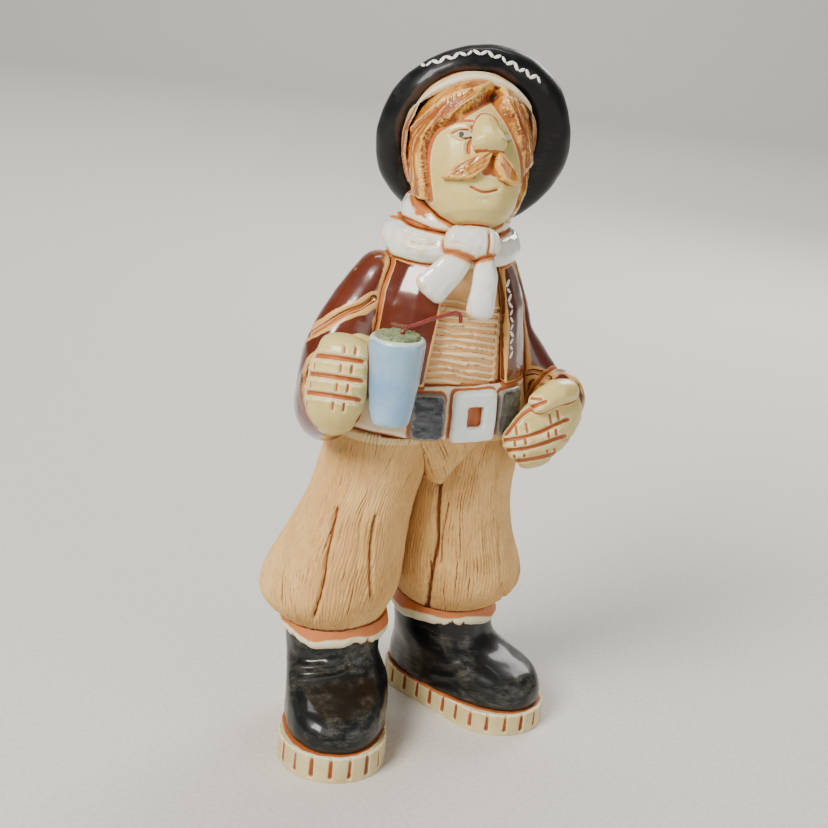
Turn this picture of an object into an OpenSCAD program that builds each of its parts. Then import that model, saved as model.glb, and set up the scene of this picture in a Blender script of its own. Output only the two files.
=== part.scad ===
// Glazed clay figurine of a horseman in a beret, with a drinking gourd in his hand.
// Every piece is a separate lump, roll or slab of clay, luted to its neighbours.
// The figure stands on z = 0 and faces -Y, so his left hand is on +X.

/* [Feet] */
// Thickness of the sole under the forward foot
right_sole_h = 8; // [6:0.5:9]
// Thickness of the sole under the rear foot
left_sole_h = 7; // [6:0.5:9]
// Length of each sole, heel to toe
sole_l = 56; // [52:1:60]
// Width of each sole at the ball of the foot
sole_w = 31; // [28:1:32]
// Angle that each foot turns out from straight ahead
toe_out = 25; // [18:1:30]
// Number of knife cuts round each sole
sole_cuts = 26; // [16:1:32]

/* [Legs] */
// Height of the boot's rim above the ground
boot_top = 34; // [32:1:36]
// Fullness of the baggy trousers at the knee
knee_r = 20; // [18:0.5:21]

/* [Body] */
// Height of the belt's lower edge
belt_z = 98; // [97:0.5:99]
// Height of the belt
belt_h = 14.5; // [13:0.5:15]
// Half width of the body at the belt
waist_rx = 28; // [26:0.5:29]
// Half depth of the body at the belt
waist_ry = 20; // [18:0.5:21]
// Thickness of the hollow body's wall
wall = 5; // [4:0.5:6]

/* [Head] */
// How far the head leans back
head_lean = 24; // [18:1:28]
// How far the head turns to his right
head_turn = 11; // [6:1:16]
// Radius of the beret
beret_r = 27; // [25:0.5:28]

/* [Gourd] */
// Height of the drinking gourd
gourd_h = 23; // [21:0.5:24]
// Radius of the gourd at its shoulder
gourd_r = 7.5; // [6.5:0.5:8]
// Diameter of the drinking straw
straw_d = 1; // [0.8:0.1:1.2]

/* [Hidden] */

// Colours of the clays and the glazes
CREAM = "#ded9b4";
TAN = "#c99f70";
PEACH = "#dfa878";
HONEY = "#b8741f";
MAROON = "#5a2318";
BLACK = "#16181b";
SLATE = "#3a3d40";
WHITE = "#e8ece4";
SKY = "#a3c4da";
STRAW_RED = "#8e2a1e";
LEAVES = "#b39a6b";

// Puts the origin under the middle of the finished figure
middle = [1.4, 0.76, 0];

// Sides of a big hollow form, of a limb and of a small roll
body_n = 22;
limb_n = 14;
roll_n = 12;

// Where each foot stands, and where its boot's shaft rises
right_foot = [-20, 1, 0];
left_foot = [27.5, 11.5, 0];
right_shaft = [-18.5, 11.5];
left_shaft = [20.5, 17];

// The middle of the head, of the beret and of the gourd's base
head_c = [1, -6, 170];
beret_c = [7.5, 5, 174.8];
gourd_c = [-26, -29.5, 107];
belt_top = belt_z + belt_h;
boot_seam = boot_top - 1;

// Sections of a leg: x, y, z, half width, half depth
right_leg = [
    [-18.5, 11.5, boot_seam, 13, 13],
    [-21.5, 11.8, 39.5, knee_r - 1.6, knee_r - 2],
    [-21, 11, 47, knee_r + 0.3, knee_r],
    [-19, 7.5, 61, knee_r - 2.5, knee_r - 2.5],
    [-16.8, 4, 75, knee_r - 5, knee_r - 4.6],
    [-14.5, 1, 90, waist_rx - 13, waist_ry - 4.5],
    [-13.5, 0.5, belt_z, waist_rx - 13, waist_ry - 4]
];
left_leg = [
    [20.5, 17, boot_seam, 13, 13],
    [21.5, 14, 39.5, knee_r - 1.6, knee_r - 2],
    [20.5, 12.2, 47, knee_r + 0.1, knee_r],
    [16.5, 8.5, 61, knee_r - 2.5, knee_r - 2.5],
    [14.5, 4.5, 75, knee_r - 5, knee_r - 4.6],
    [13.8, 1.5, 90, waist_rx - 13, waist_ry - 4.5],
    [13.2, 0.5, belt_z, waist_rx - 13, waist_ry - 4]
];

// Sections of the trunk under the jacket
trunk = [
    [0, 0, belt_z, waist_rx - 3.5, waist_ry - 3],
    [0, 0, 106, waist_rx - 4, waist_ry - 3],
    [0, 0, 120, waist_rx - 6, waist_ry - 3.2],
    [0, 0, 133, waist_rx - 8.5, waist_ry - 4],
    [0, -0.5, 143, 15, 12.5],
    [0, -1, 150, 8.5, 8.5]
];
// Thickness of the jacket's slabs and of the hair
jacket_t = 3.4;
hair_t = 2.6;

// Middle line and half widths of each arm
right_upper_arm = [
    [-17.5, 1.5, 140, 6.5, 7],
    [-23.5, 0.5, 130, 8.4, 8.4],
    [-30.5, -1, 117, 9, 9.2],
    [-32, -2.5, 102.5, 8.8, 9.4]
];
right_forearm = [
    [-32, -2, 101.5, 7.6, 8.4],
    [-35.5, -9, 107, 8.4, 10.5],
    [-36.5, -15, 112, 8, 12.5]
];
left_upper_arm = [
    [16.5, 2.5, 140, 6.3, 7],
    [20, 2.5, 130, 7.2, 8],
    [24, 2, 119, 7.4, 8.2],
    [34.5, 0, 105, 8, 8.6]
];
left_forearm = [
    [36, 1.5, 103.5, 7.6, 8],
    [36, -6, 104.5, 8, 8.6],
    [34.5, -12, 106, 7.6, 8]
];

// ---- Shaping tools ----

function unit(v) = v / norm(v);
function point(s) = [s[0], s[1], s[2]];

// A curve through the listed sections, one step of it
function curve(k, i, t) =
    let (a = k[max(i - 1, 0)], b = k[i], c = k[i + 1], d = k[min(i + 2, len(k) - 1)])
    0.5 * (2 * b + (c - a) * t + (2 * a - 5 * b + 4 * c - d) * t * t
        + (3 * b - a - 3 * c + d) * t * t * t);

// All sections of that curve, each gap cut in so many steps
function smooth(k, steps = 3) = [
    for (i = [0:len(k) - 2]) for (j = [0:steps - 1]) curve(k, i, j / steps),
    k[len(k) - 1]
];

// Sections grown by a margin all round
function grown(k, by) = [for (s = k) [s[0], s[1], s[2], s[3] + by, s[4] + by]];

// Level ellipse of one standing section
function level_ring(s, n) = [
    for (j = [0:n - 1]) [s[0] + s[3] * cos(360 * j / n), s[1] + s[4] * sin(360 * j / n), s[2]]
];

// Direction of a line of sections at number i
function along(k, i) = unit(point(k[min(i + 1, len(k) - 1)]) - point(k[max(i - 1, 0)]));

// Ellipse square to a line's direction, its half height along up
function cross_ring(s, dir, up, n) =
    let (v = unit(up - dir * (up * dir)), u = cross(v, dir))
    [for (j = [0:n - 1]) point(s) + u * s[3] * cos(360 * j / n) + v * s[4] * sin(360 * j / n)];

// Sections that round off the end of a line
function end_cap(s, dir, bulge) = [
    for (a = [72, 45, 20]) [
        each (point(s) + dir * bulge * sin(a)), s[3] * cos(a), s[4] * cos(a)
    ]
];
function reversed(k) = [for (i = [len(k) - 1:-1:0]) k[i]];
function rounded(k, bulge) = [
    each end_cap(k[0], -along(k, 0), bulge),
    each k,
    each reversed(end_cap(k[len(k) - 1], along(k, len(k) - 1), bulge))
];

// Closed skin over a list of rings
module skin(rings) {
    n = len(rings[0]);
    last = len(rings) - 1;
    middles = [for (r = [rings[0], rings[last]]) [for (p = r) 1] * r / n];
    points = [for (r = rings) each r, each middles];
    first_mid = n * (last + 1);
    sides = [
        for (i = [0:last - 1]) for (j = [0:n - 1]) let (k = (j + 1) % n) each [
            [i * n + j, (i + 1) * n + j, (i + 1) * n + k],
            [i * n + j, (i + 1) * n + k, i * n + k]
        ]
    ];
    ends = [
        for (j = [0:n - 1]) let (k = (j + 1) % n) each [
            [first_mid, j, k],
            [first_mid + 1, last * n + k, last * n + j]
        ]
    ];
    polyhedron(points, concat(sides, ends));
}

// Upright form through level sections
module standing(k, n = body_n, steps = 3) {
    skin([for (s = smooth(k, steps)) level_ring(s, n)]);
}

// Roll, limb or flattened coil that follows a line and has rounded ends
module roll(k, up = [0, 0, 1], n = roll_n, steps = 3, bulge = 2.5) {
    line = rounded(smooth(k, steps), bulge);
    skin([for (i = [0:len(line) - 1]) cross_ring(line[i], along(line, i), up, n)]);
}

// Ring-shaped roll: major half widths, half thickness and half height, tipped forward
module ring_roll(c, rx, ry, t, h, tip, n = 24, around = 8) {
    points = [
        for (i = [0:n - 1]) for (j = [0:around - 1])
            let (a = 360 * i / n, b = 360 * j / around, out = t * cos(b))
            [(rx + out) * cos(a), (ry + out) * sin(a), h * sin(b)]
    ];
    faces = [
        for (i = [0:n - 1]) for (j = [0:around - 1])
            let (k = (i + 1) % n, l = (j + 1) % around) each [
                [i * around + j, i * around + l, k * around + l],
                [i * around + j, k * around + l, k * around + j]
            ]
    ];
    translate(c) rotate([tip, 0, 0]) polyhedron(points, faces);
}

// One finished piece: its colour and its place under the middle of the figure
module clay(paint) {
    color(paint) translate(-middle) resize([0, 0, 0]) union() children();
}

// Half of space on one side of x = 0
module side(sign) {
    translate([sign * 100, 0, 100]) cube(200, center = true);
}

// ---- Feet ----

// Rounded foot outline, wider at the ball than at the heel, toe towards -Y
function foot_outline(l, w, n) =
    let (toe_r = w / 2, heel_r = 0.43 * w)
    [
        for (i = [0:n]) let (a = 180 + 180 * i / n) [toe_r * cos(a), -l / 2 + toe_r + toe_r * sin(a)],
        for (i = [0:n]) let (a = 180 * i / n) [heel_r * cos(a), l / 2 - heel_r + heel_r * sin(a)]
    ];

// Point on a closed outline at a distance s along it, with the direction there
function walk(line, s, i = 0) =
    let (p = line[i], q = line[(i + 1) % len(line)], step = norm(q - p))
    s <= step ? [p + (q - p) * s / step, atan2(q[1] - p[1], q[0] - p[0])]
        : walk(line, s - step, (i + 1) % len(line));
function girth(line) = let (m = len(line))
    [for (i = [0:m - 1]) norm(line[(i + 1) % m] - line[i])] * [for (i = [0:m - 1]) 1];

// Sole slab with a ring of leaf-shaped knife cuts
module sole(h) {
    line = foot_outline(sole_l, sole_w, 14);
    total = girth(line);
    cut_foot = 1.2;
    cut_w = 0.9;
    difference() {
        linear_extrude(h) polygon(line);
        for (i = [0:sole_cuts - 1]) {
            cut = walk(line, total * (i + 0.5) / sole_cuts);
            translate([each cut[0], cut_foot]) rotate(cut[1] + 45)
                linear_extrude(h) square(cut_w, center = true);
        }
    }
}
module right_sole() {
    color(CREAM) translate(right_foot - middle) rotate(-toe_out) sole(right_sole_h);
}
module left_sole() {
    color(CREAM) translate(left_foot - middle) rotate(toe_out) sole(left_sole_h);
}

// Boot from the sole up to its rim: a long low toe and an upright shaft
function boot_levels(foot, shaft, h) =
    let (f = [foot[0], foot[1]], s = shaft)
    [
        for (v = [
            [0, h, 26.4, 14.6], [0, h + 4, 26.8, 15], [0.12, h + 9, 24.6, 14.8],
            [0.7, h + 13.5, 18, 13.8], [0.95, h + 18, 14.8, 13.8], [1, boot_seam, 14.6, 14.6]
        ])
        [each (f + (s - f) * v[0]), v[1], v[3], v[2]]
    ];
function squared(v) = sign(v) * pow(abs(v), 0.82);
function boot_rings(k, turn, n) = [
    for (s = smooth(k, 2)) [
        for (j = [0:n - 1]) let (a = 360 * j / n, x = s[3] * squared(cos(a)), y = s[4] * squared(sin(a)))
            [s[0] + x * cos(turn) - y * sin(turn), s[1] + x * sin(turn) + y * cos(turn), s[2]]
    ]
];
module boot_form(foot, shaft, turn, h) {
    skin(boot_rings(boot_levels(foot, shaft, h), turn, body_n));
}
module boot(foot, shaft, turn, h) {
    difference() {
        boot_form(foot, shaft, turn, h);
        translate([shaft[0], shaft[1], h + 5]) cylinder(h = boot_top, r1 = 7, r2 = 10, $fn = 20);
    }
}
module right_boot() {
    clay(BLACK) boot(right_foot, right_shaft, -toe_out, right_sole_h);
}
module left_boot() {
    clay(BLACK) boot(left_foot, left_shaft, toe_out, left_sole_h);
}

// Wavy clay strip round the top of a boot, under the trousers
module boot_cuff(shaft, leg) {
    difference() {
        standing([
            [each shaft, boot_top - 3.4, 15.2, 15.2],
            [each shaft, boot_top - 1, 16.2, 16],
            [each shaft, boot_top + 2.6, 15.8, 15.6]
        ], body_n, 2);
        children();
        standing(leg);
        translate([each shaft, boot_top]) cylinder(h = 8, r = 12, $fn = 20);
    }
}
module right_boot_cuff() {
    clay(CREAM) boot_cuff(right_shaft, right_leg)
        boot_form(right_foot, right_shaft, -toe_out, right_sole_h);
}
module left_boot_cuff() {
    clay(CREAM) boot_cuff(left_shaft, left_leg)
        boot_form(left_foot, left_shaft, toe_out, left_sole_h);
}

// ---- Trousers ----

// Hollow baggy leg, open at the top, with a small air hole in its floor
module trouser_leg(k, sign) {
    difference() {
        intersection() {
            standing(k);
            side(sign);
        }
        intersection() {
            translate([0, 0, wall]) standing(grown(k, -wall), limb_n);
            translate([sign * wall / 2, 0, 0]) side(sign);
        }
        translate([k[0][0], k[0][1], 0]) cylinder(h = 60, d = 4, $fn = 12);
    }
}
module right_trouser_leg() {
    clay(TAN) trouser_leg(right_leg, -1);
}
module left_trouser_leg() {
    clay(TAN) trouser_leg(left_leg, 1);
}

// Slab panels that close the fork of the trousers, front and back
module fork_panel(sign) {
    difference() {
        standing([
            [0, 2.5, 82, 2.5, waist_ry - 6],
            [0, 1.5, 88, 8, waist_ry - 4.2],
            [0, 0.5, belt_z, waist_rx - 4, waist_ry - 2.6]
        ]);
        standing(right_leg);
        standing(left_leg);
        translate([-50, sign > 0 ? -96 : -4, 0]) cube(100);
    }
}
module trouser_front_panel() {
    clay(TAN) fork_panel(-1);
}
module trouser_back_panel() {
    clay(TAN) fork_panel(1);
}

// ---- Belt ----

module belt_form(by) {
    standing([
        [0, 0, belt_z, waist_rx - 0.4 + by, waist_ry - 0.2 + by],
        [0, 0, belt_z + belt_h / 2, waist_rx - 0.6 + by, waist_ry - 0.2 + by],
        [0, 0, belt_top, waist_rx - 1.8 + by, waist_ry - 0.8 + by]
    ], body_n * 2 - 4, 2);
}
module belt() {
    clay(CREAM) difference() {
        belt_form(0);
        standing(trunk);
    }
}

// Slab laid on the belt: middle, width, height and thickness
module belt_slab(x, z, w, h, t) {
    difference() {
        intersection() {
            belt_form(t);
            translate([x, -waist_ry, z]) rotate([90, 0, 0]) linear_extrude(30, center = true)
                offset(1.2, $fn = 12) square([w - 2.4, h - 2.4], center = true);
        }
        belt_form(0);
        translate([-50, 0, 0]) cube([100, 50, 200]);
    }
}
buckle_x = 3;
module belt_buckle() {
    clay(WHITE) difference() {
        belt_slab(buckle_x, belt_z + 6.6, 13, 14.4, 2.2);
        translate([buckle_x, -waist_ry, belt_z + 6.8]) cube([5.4, 60, 6], center = true);
    }
}
module right_belt_plate() {
    clay(SLATE) belt_slab(buckle_x - 13, belt_z + 6.6, 8.4, 12.6, 1.3);
}
module left_plate_form() {
    belt_slab(buckle_x + 12.4, belt_z + 6.8, 8.6, 12.4, 1.3);
}
module left_belt_plate() {
    clay(SLATE) left_plate_form();
}

// ---- Trunk and jacket ----

module shirt_body() {
    clay(PEACH) difference() {
        standing(trunk);
        translate([0, 0, -wall]) standing(grown(trunk, -wall), limb_n);
        translate([0, 0, belt_z - 10]) cylinder(h = 10.1, r = 8);
    }
}

// The jacket's whole form, grown over the trunk
module jacket_form() {
    difference() {
        standing(grown(trunk, jacket_t));
        translate([-50, -50, 0]) cube([100, 100, belt_top]);
    }
}

// Wedge of space seen from above, between two compass angles
module wedge(from, to, reach = 60) {
    linear_extrude(200) polygon([
        [0, 0], for (i = [0:6]) let (a = from + (to - from) * i / 6) reach * [cos(a), sin(a)]
    ]);
}

// The gap between the jacket's fronts narrows upwards
module shirt_gap() {
    translate([0.5, 0, 0]) rotate([90, 0, 0]) linear_extrude(60)
        polygon([[-14, belt_z], [14, belt_z], [8, 160], [-6, 160]]);
}
module jacket_front(from, to) {
    difference() {
        intersection() {
            jacket_form();
            wedge(from, to);
        }
        standing(trunk);
        shirt_gap();
    }
}
module jacket_right_front() {
    clay(MAROON) jacket_front(185, 270);
}
module jacket_left_front() {
    clay(MAROON) jacket_front(270, 355);
}
module jacket_back() {
    clay(MAROON) difference() {
        intersection() {
            jacket_form();
            wedge(-5, 185);
        }
        standing(trunk);
    }
}

// ---- Arms ----

module sleeve(k) {
    roll(k, [0, -1, 0.3], limb_n, 3, 5);
}
module upper_sleeve(k) {
    difference() {
        sleeve(k);
        standing(grown(trunk, jacket_t));
        belt_form(0.4);
    }
}
module right_upper_sleeve() {
    clay(MAROON) upper_sleeve(right_upper_arm);
}
module left_upper_sleeve() {
    clay(MAROON) upper_sleeve(left_upper_arm);
}
module forearm_sleeve(k, upper) {
    difference() {
        roll(k, [0, 0, 1], limb_n, 3, 2.5);
        sleeve(upper);
        standing(grown(trunk, jacket_t));
        belt_form(0.4);
    }
}
module right_forearm_sleeve() {
    clay(MAROON) forearm_sleeve(right_forearm, right_upper_arm);
}
module left_forearm_sleeve() {
    clay(MAROON) difference() {
        forearm_sleeve(left_forearm, left_upper_arm);
        standing(left_leg);
    }
}

// ---- Hands ----

right_fist = [
    [-37, -20.5, 105, 4.8, 5.4],
    [-38, -21, 110, 6.4, 7.8],
    [-37.4, -22, 118, 6.8, 8.2],
    [-36.6, -22.6, 125.5, 6, 7]
];
module right_fist_form() {
    roll(right_fist, [0.8, -0.6, 0], limb_n, 3, 3);
}
module right_hand() {
    clay(CREAM) difference() {
        right_fist_form();
        gourd_outer();
        roll(right_forearm, [0, 0, 1], limb_n, 3, 2.5);
    }
}

// Thumb that closes round the gourd from behind
module right_thumb() {
    clay(CREAM) difference() {
        roll([
            [-37, -15.5, 122, 3.4, 3.6],
            [-31, -17.5, 123.5, 3.6, 4],
            [-25, -20, 121.5, 3, 3.4]
        ], [0, 0, 1], roll_n, 2, 2.5);
        right_fist_form();
        gourd_outer();
        sleeve(right_upper_arm);
        roll(right_forearm, [0, 0, 1], limb_n, 3, 2.5);
    }
}

left_palm = [
    [33.5, -16.5, 106, 7.5, 5.2],
    [28.5, -19, 102.5, 9.6, 5.4],
    [22.5, -20, 97.5, 9.8, 5],
    [18.5, -19.5, 94, 8, 4.2]
];
module left_palm_form() {
    roll(left_palm, [0.3, -1, 0], limb_n, 3, 3);
}
module figure_left_side() {
    standing(left_leg);
    belt_form(0);
    roll(left_forearm, [0, 0, 1], limb_n, 3, 2.5);
    fork_panel(-1);
}
module left_hand() {
    clay(CREAM) difference() {
        left_palm_form();
        figure_left_side();
        left_plate_form();
    }
}
module left_thumb() {
    clay(CREAM) difference() {
        roll([
            [31.5, -20, 111, 3.2, 3.6],
            [26, -23, 111.5, 3.6, 4],
            [20.5, -23.6, 109, 3, 3.2]
        ], [0, -1, 0], roll_n, 2, 2.5);
        left_palm_form();
        figure_left_side();
        left_plate_form();
        standing(grown(trunk, jacket_t));
    }
}

// ---- Gourd and straw ----

module gourd_outer() {
    translate(gourd_c) rotate_extrude($fn = 32) polygon([
        [0, 0], [gourd_r - 3.4, 0], [gourd_r - 2.4, 0.8], [gourd_r - 1, gourd_h * 0.5],
        [gourd_r - 0.4, gourd_h - 1], [gourd_r - 1, gourd_h], [0, gourd_h]
    ]);
}
module gourd() {
    color(SKY) translate(-middle) difference() {
        gourd_outer();
        translate(gourd_c + [0, 0, gourd_h - 8]) cylinder(h = 20, r = gourd_r - 2, $fn = 32);
    }
}
module straw_axis() {
    translate(gourd_c + [1, 0, gourd_h - 3]) children();
}
module gourd_leaves() {
    color(LEAVES) translate(-middle) difference() {
        translate(gourd_c + [0, 0, gourd_h - 8]) cylinder(h = 8.6, r = gourd_r - 2, $fn = 32);
        straw_axis() cylinder(h = 10, d = straw_d, $fn = 24);
    }
}

// Bent wire: upright in the gourd, then across towards his chest and down at the tip
straw_bends = [
    [0, 0, 0], [0, 0, 4], [1, 0.1, 5], [8, 1, 7], [15, 1.2, 8.6], [16.2, 1.3, 8.2], [16.8, 1.4, 6]
];
module drinking_straw() {
    wire_r = straw_d / 2;
    line = [for (b = straw_bends) [each b, wire_r, wire_r]];
    color(STRAW_RED) translate(-middle) straw_axis()
        skin([for (i = [0:len(line) - 1]) cross_ring(line[i], along(line, i), [0, -1, 0], 8)]);
}

// ---- Scarf ----

module lower_roll_form() {
    ring_roll([0, -1, 149], 15, 12.5, 4.6, 4.8, 6);
}
module upper_roll_form() {
    ring_roll([0.5, -1.5, 156], 11.2, 10.2, 4.2, 4.2, 8);
}
module scarf_lower_roll() {
    clay(WHITE) difference() {
        lower_roll_form();
        standing(grown(trunk, jacket_t));
        head_form();
    }
}
module scarf_upper_roll() {
    clay(CREAM) difference() {
        upper_roll_form();
        lower_roll_form();
        standing(grown(trunk, jacket_t));
        neck_form();
        head_form();
    }
}
module knot_form() {
    roll([[-7.5, -18, 152, 3.4, 4], [-2.5, -19.5, 151.6, 4, 4.6], [2.5, -19, 151.4, 3.4, 4]],
        [0, 0, 1], roll_n, 2, 2.5);
}
module scarf_knot() {
    clay(WHITE) difference() {
        knot_form();
        lower_roll_form();
        upper_roll_form();
        head_form();
    }
}
module scarf_tail(k) {
    difference() {
        roll(k, [0, -1, 0.4], roll_n, 3, 2);
        knot_form();
        lower_roll_form();
        standing(grown(trunk, jacket_t));
    }
}
module scarf_right_tail() {
    clay(WHITE) scarf_tail([
        [-4.5, -19.5, 149.5, 3, 2],
        [-9, -20, 144.5, 4.2, 2.2],
        [-13.5, -19.2, 139.5, 4.8, 2.2]
    ]);
}
module scarf_left_tail() {
    clay(WHITE) difference() {
        scarf_tail([
            [0.5, -20.5, 147.5, 2.8, 2],
            [0.7, -22, 141, 3.6, 2.3],
            [0.2, -22, 134, 4, 2.3]
        ]);
    }
}

// ---- Head ----

module neck_form() {
    translate([0, -1.5, 148]) rotate([4, 0, 0]) cylinder(h = 14, r = 7.2, $fn = 24);
}
// Room left clear round the nape, out of sight under the hair and the beret
module nape_room() {
    translate([-10, -9, 140]) cube([20, 18.5, 17]);
}
module neck() {
    clay(CREAM) difference() {
        neck_form();
        standing(trunk);
        head_form();
    }
}

// The skull swollen all round, crown included
function swollen(by) = [
    for (v = skull) [v[0], v[1], v[2] * (1 + by / 17), v[3] + by, v[4] + by]
];

// Places a form made in the head's own frame, face towards -Y
module on_head() {
    translate(head_c) rotate([0, 0, -head_turn]) rotate([-head_lean, 0, 0]) children();
}
skull = [
    [0, -1.5, -18, 3, 4],
    [0, -1.5, -15, 9, 10],
    [0, -0.5, -7, 13, 13],
    [0, 0, 3, 14, 14.5],
    [0, 0, 11, 12.5, 13.5],
    [0, 0, 17, 5, 6]
];
module head_form() {
    on_head() standing(skull, body_n, 2);
}
module head() {
    clay(CREAM) difference() {
        head_form();
        on_head() translate([0, 0, -4]) sphere(7, $fn = 16);
        translate([0, -1.5, 140]) cylinder(h = 26, d = 4, $fn = 12);
        on_head() for (s = [-1, 1]) eye_socket(s);
    }
}
module eye_socket(s) {
    translate([s * 5.6, -13.4, 3.6]) scale([1.7, 1.2, 0.8]) sphere(1.5, $fn = 10);
}
module eye(s) {
    clay(WHITE) on_head() intersection() {
        eye_socket(s);
        standing(skull, body_n, 2);
    }
}
module right_eye() {
    eye(-1);
}
module left_eye() {
    eye(1);
}
module nose_form() {
    on_head() roll([[0, -13, 7, 3, 2.4], [0, -15, 3.5, 4, 3], [0, -16.5, 0.5, 4.6, 3.6]],
        [0, -1, 0], roll_n, 2, 1.8);
}
module nose() {
    clay(CREAM) difference() {
        nose_form();
        head_form();
    }
}
module moustache_half(s, tip) {
    clay(HONEY) difference() {
        on_head() roll([
            [s * 0.8, -15.5, -2.6, 2, 2.2],
            [s * 4.8, -14.8, -5.2, 2.2, 3],
            [each tip, 1.6, 1.6]
        ], [0, 0, 1], roll_n, 2, 1.6);
        head_form();
        nose_form();
        on_head() rotate([0, 0, s > 0 ? 180 : 0]) translate([0, -30, -30]) cube(60);
    }
}
module right_moustache() {
    moustache_half(-1, [-10, -12, -8.2]);
}
module left_moustache() {
    moustache_half(1, [9, -12.6, -9]);
}

// Thick hair over the skull with an opening for the face
module hair_half(s) {
    clay(HONEY) difference() {
        on_head() intersection() {
            standing(swollen(hair_t), body_n, 2);
            side_of_head(s);
        }
        head_form();
        on_head() translate([0, -20, -8.5]) rotate([90, 0, 0]) linear_extrude(36, center = true)
            offset(5, $fn = 24) square([15, 26], center = true);
        on_head() translate([-30, -30, -43]) cube([60, 60, 30]);
        upper_roll_form();
        neck_form();
        nape_room();
    }
}
module side_of_head(s) {
    translate([s * 50, 0, 0]) cube(100, center = true);
}
module right_hair() {
    hair_half(-1);
}
module left_hair() {
    hair_half(1);
}

// ---- Beret ----

// Places a form made in the beret's own frame, crown towards +Z
module on_beret() {
    translate(beret_c) rotate([0, 0, -head_turn - 3]) rotate([-70, 0, 0]) children();
}
module head_and_hair() {
    head_form();
    on_head() standing(swollen(hair_t), body_n, 2);
}
module band_form() {
    intersection() {
        on_head() standing(swollen(hair_t + 2), body_n, 2);
        on_beret() translate([0, 0, -9.5]) cylinder(h = 6, r = 40);
    }
}
// Below the nape the band gives way to the scarf
module scarf_hidden_side() {
    translate([-50, -2, 100]) cube([100, 100, 61]);
}
module beret_band() {
    clay(CREAM) difference() {
        band_form();
        head_and_hair();
        upper_roll_form();
        neck_form();
        scarf_hidden_side();
    }
}
module beret() {
    clay(BLACK) difference() {
        on_beret() standing([
            [0, 0, -6.5, beret_r - 9, beret_r - 9],
            [0, 0, -5, beret_r - 3, beret_r - 3],
            [0, 0, 0, beret_r, beret_r],
            [0, 0, 5, beret_r - 3, beret_r - 3],
            [0, 0, 8.5, beret_r - 12, beret_r - 12],
            [0, 0, 10, 3, 3]
        ], 28, 2);
        head_and_hair();
        band_form();
        upper_roll_form();
        lower_roll_form();
        nape_room();
    }
}

right_sole();
left_sole();
right_boot();
left_boot();
right_boot_cuff();
left_boot_cuff();
right_trouser_leg();
left_trouser_leg();
trouser_front_panel();
trouser_back_panel();
belt();
belt_buckle();
right_belt_plate();
left_belt_plate();
shirt_body();
jacket_right_front();
jacket_left_front();
jacket_back();
right_upper_sleeve();
left_upper_sleeve();
right_forearm_sleeve();
left_forearm_sleeve();
right_hand();
right_thumb();
left_hand();
left_thumb();
gourd();
gourd_leaves();
drinking_straw();
scarf_upper_roll();
scarf_lower_roll();
scarf_knot();
scarf_right_tail();
scarf_left_tail();
neck();
head();
nose();
right_moustache();
left_moustache();
right_eye();
left_eye();
right_hair();
left_hair();
beret_band();
beret();
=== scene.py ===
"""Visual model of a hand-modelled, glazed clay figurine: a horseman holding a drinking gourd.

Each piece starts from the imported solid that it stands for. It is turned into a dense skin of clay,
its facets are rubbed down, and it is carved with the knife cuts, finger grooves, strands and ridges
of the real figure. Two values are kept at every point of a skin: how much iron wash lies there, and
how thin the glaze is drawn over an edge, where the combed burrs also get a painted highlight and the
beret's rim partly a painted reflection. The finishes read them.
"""

import logging
import math
from dataclasses import dataclass, field
from enum import Enum

import bmesh
import bpy
import numpy as np
from mathutils import Matrix, Vector
from mathutils.bvhtree import BVHTree


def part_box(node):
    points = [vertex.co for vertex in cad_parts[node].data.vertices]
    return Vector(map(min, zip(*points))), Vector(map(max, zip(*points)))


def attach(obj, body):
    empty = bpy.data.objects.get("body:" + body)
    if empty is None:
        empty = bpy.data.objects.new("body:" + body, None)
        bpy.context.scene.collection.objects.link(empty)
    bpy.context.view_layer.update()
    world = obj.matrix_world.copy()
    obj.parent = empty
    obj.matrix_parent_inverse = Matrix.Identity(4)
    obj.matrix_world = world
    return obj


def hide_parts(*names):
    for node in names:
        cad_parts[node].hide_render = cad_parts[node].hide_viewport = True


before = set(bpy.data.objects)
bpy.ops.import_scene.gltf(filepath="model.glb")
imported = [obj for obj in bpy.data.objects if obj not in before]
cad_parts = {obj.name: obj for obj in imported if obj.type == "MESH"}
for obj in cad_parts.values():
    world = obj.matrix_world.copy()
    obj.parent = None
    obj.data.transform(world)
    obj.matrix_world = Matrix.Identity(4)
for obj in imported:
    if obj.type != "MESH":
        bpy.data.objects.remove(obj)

LOG = logging.getLogger("figurine")
MM = 0.001
SEED = 7

Colour = tuple[float, float, float]
Point2 = tuple[float, float]


def hex_colour(code: str) -> Colour:
    """Turns a six-digit sRGB code into a linear colour."""
    parts = [int(code[i : i + 2], 16) / 255 for i in (0, 2, 4)]
    return tuple(c / 12.92 if c <= 0.04045 else ((c + 0.055) / 1.055) ** 2.4 for c in parts)


# ---------------------------------------------------------------- shader kit


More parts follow.
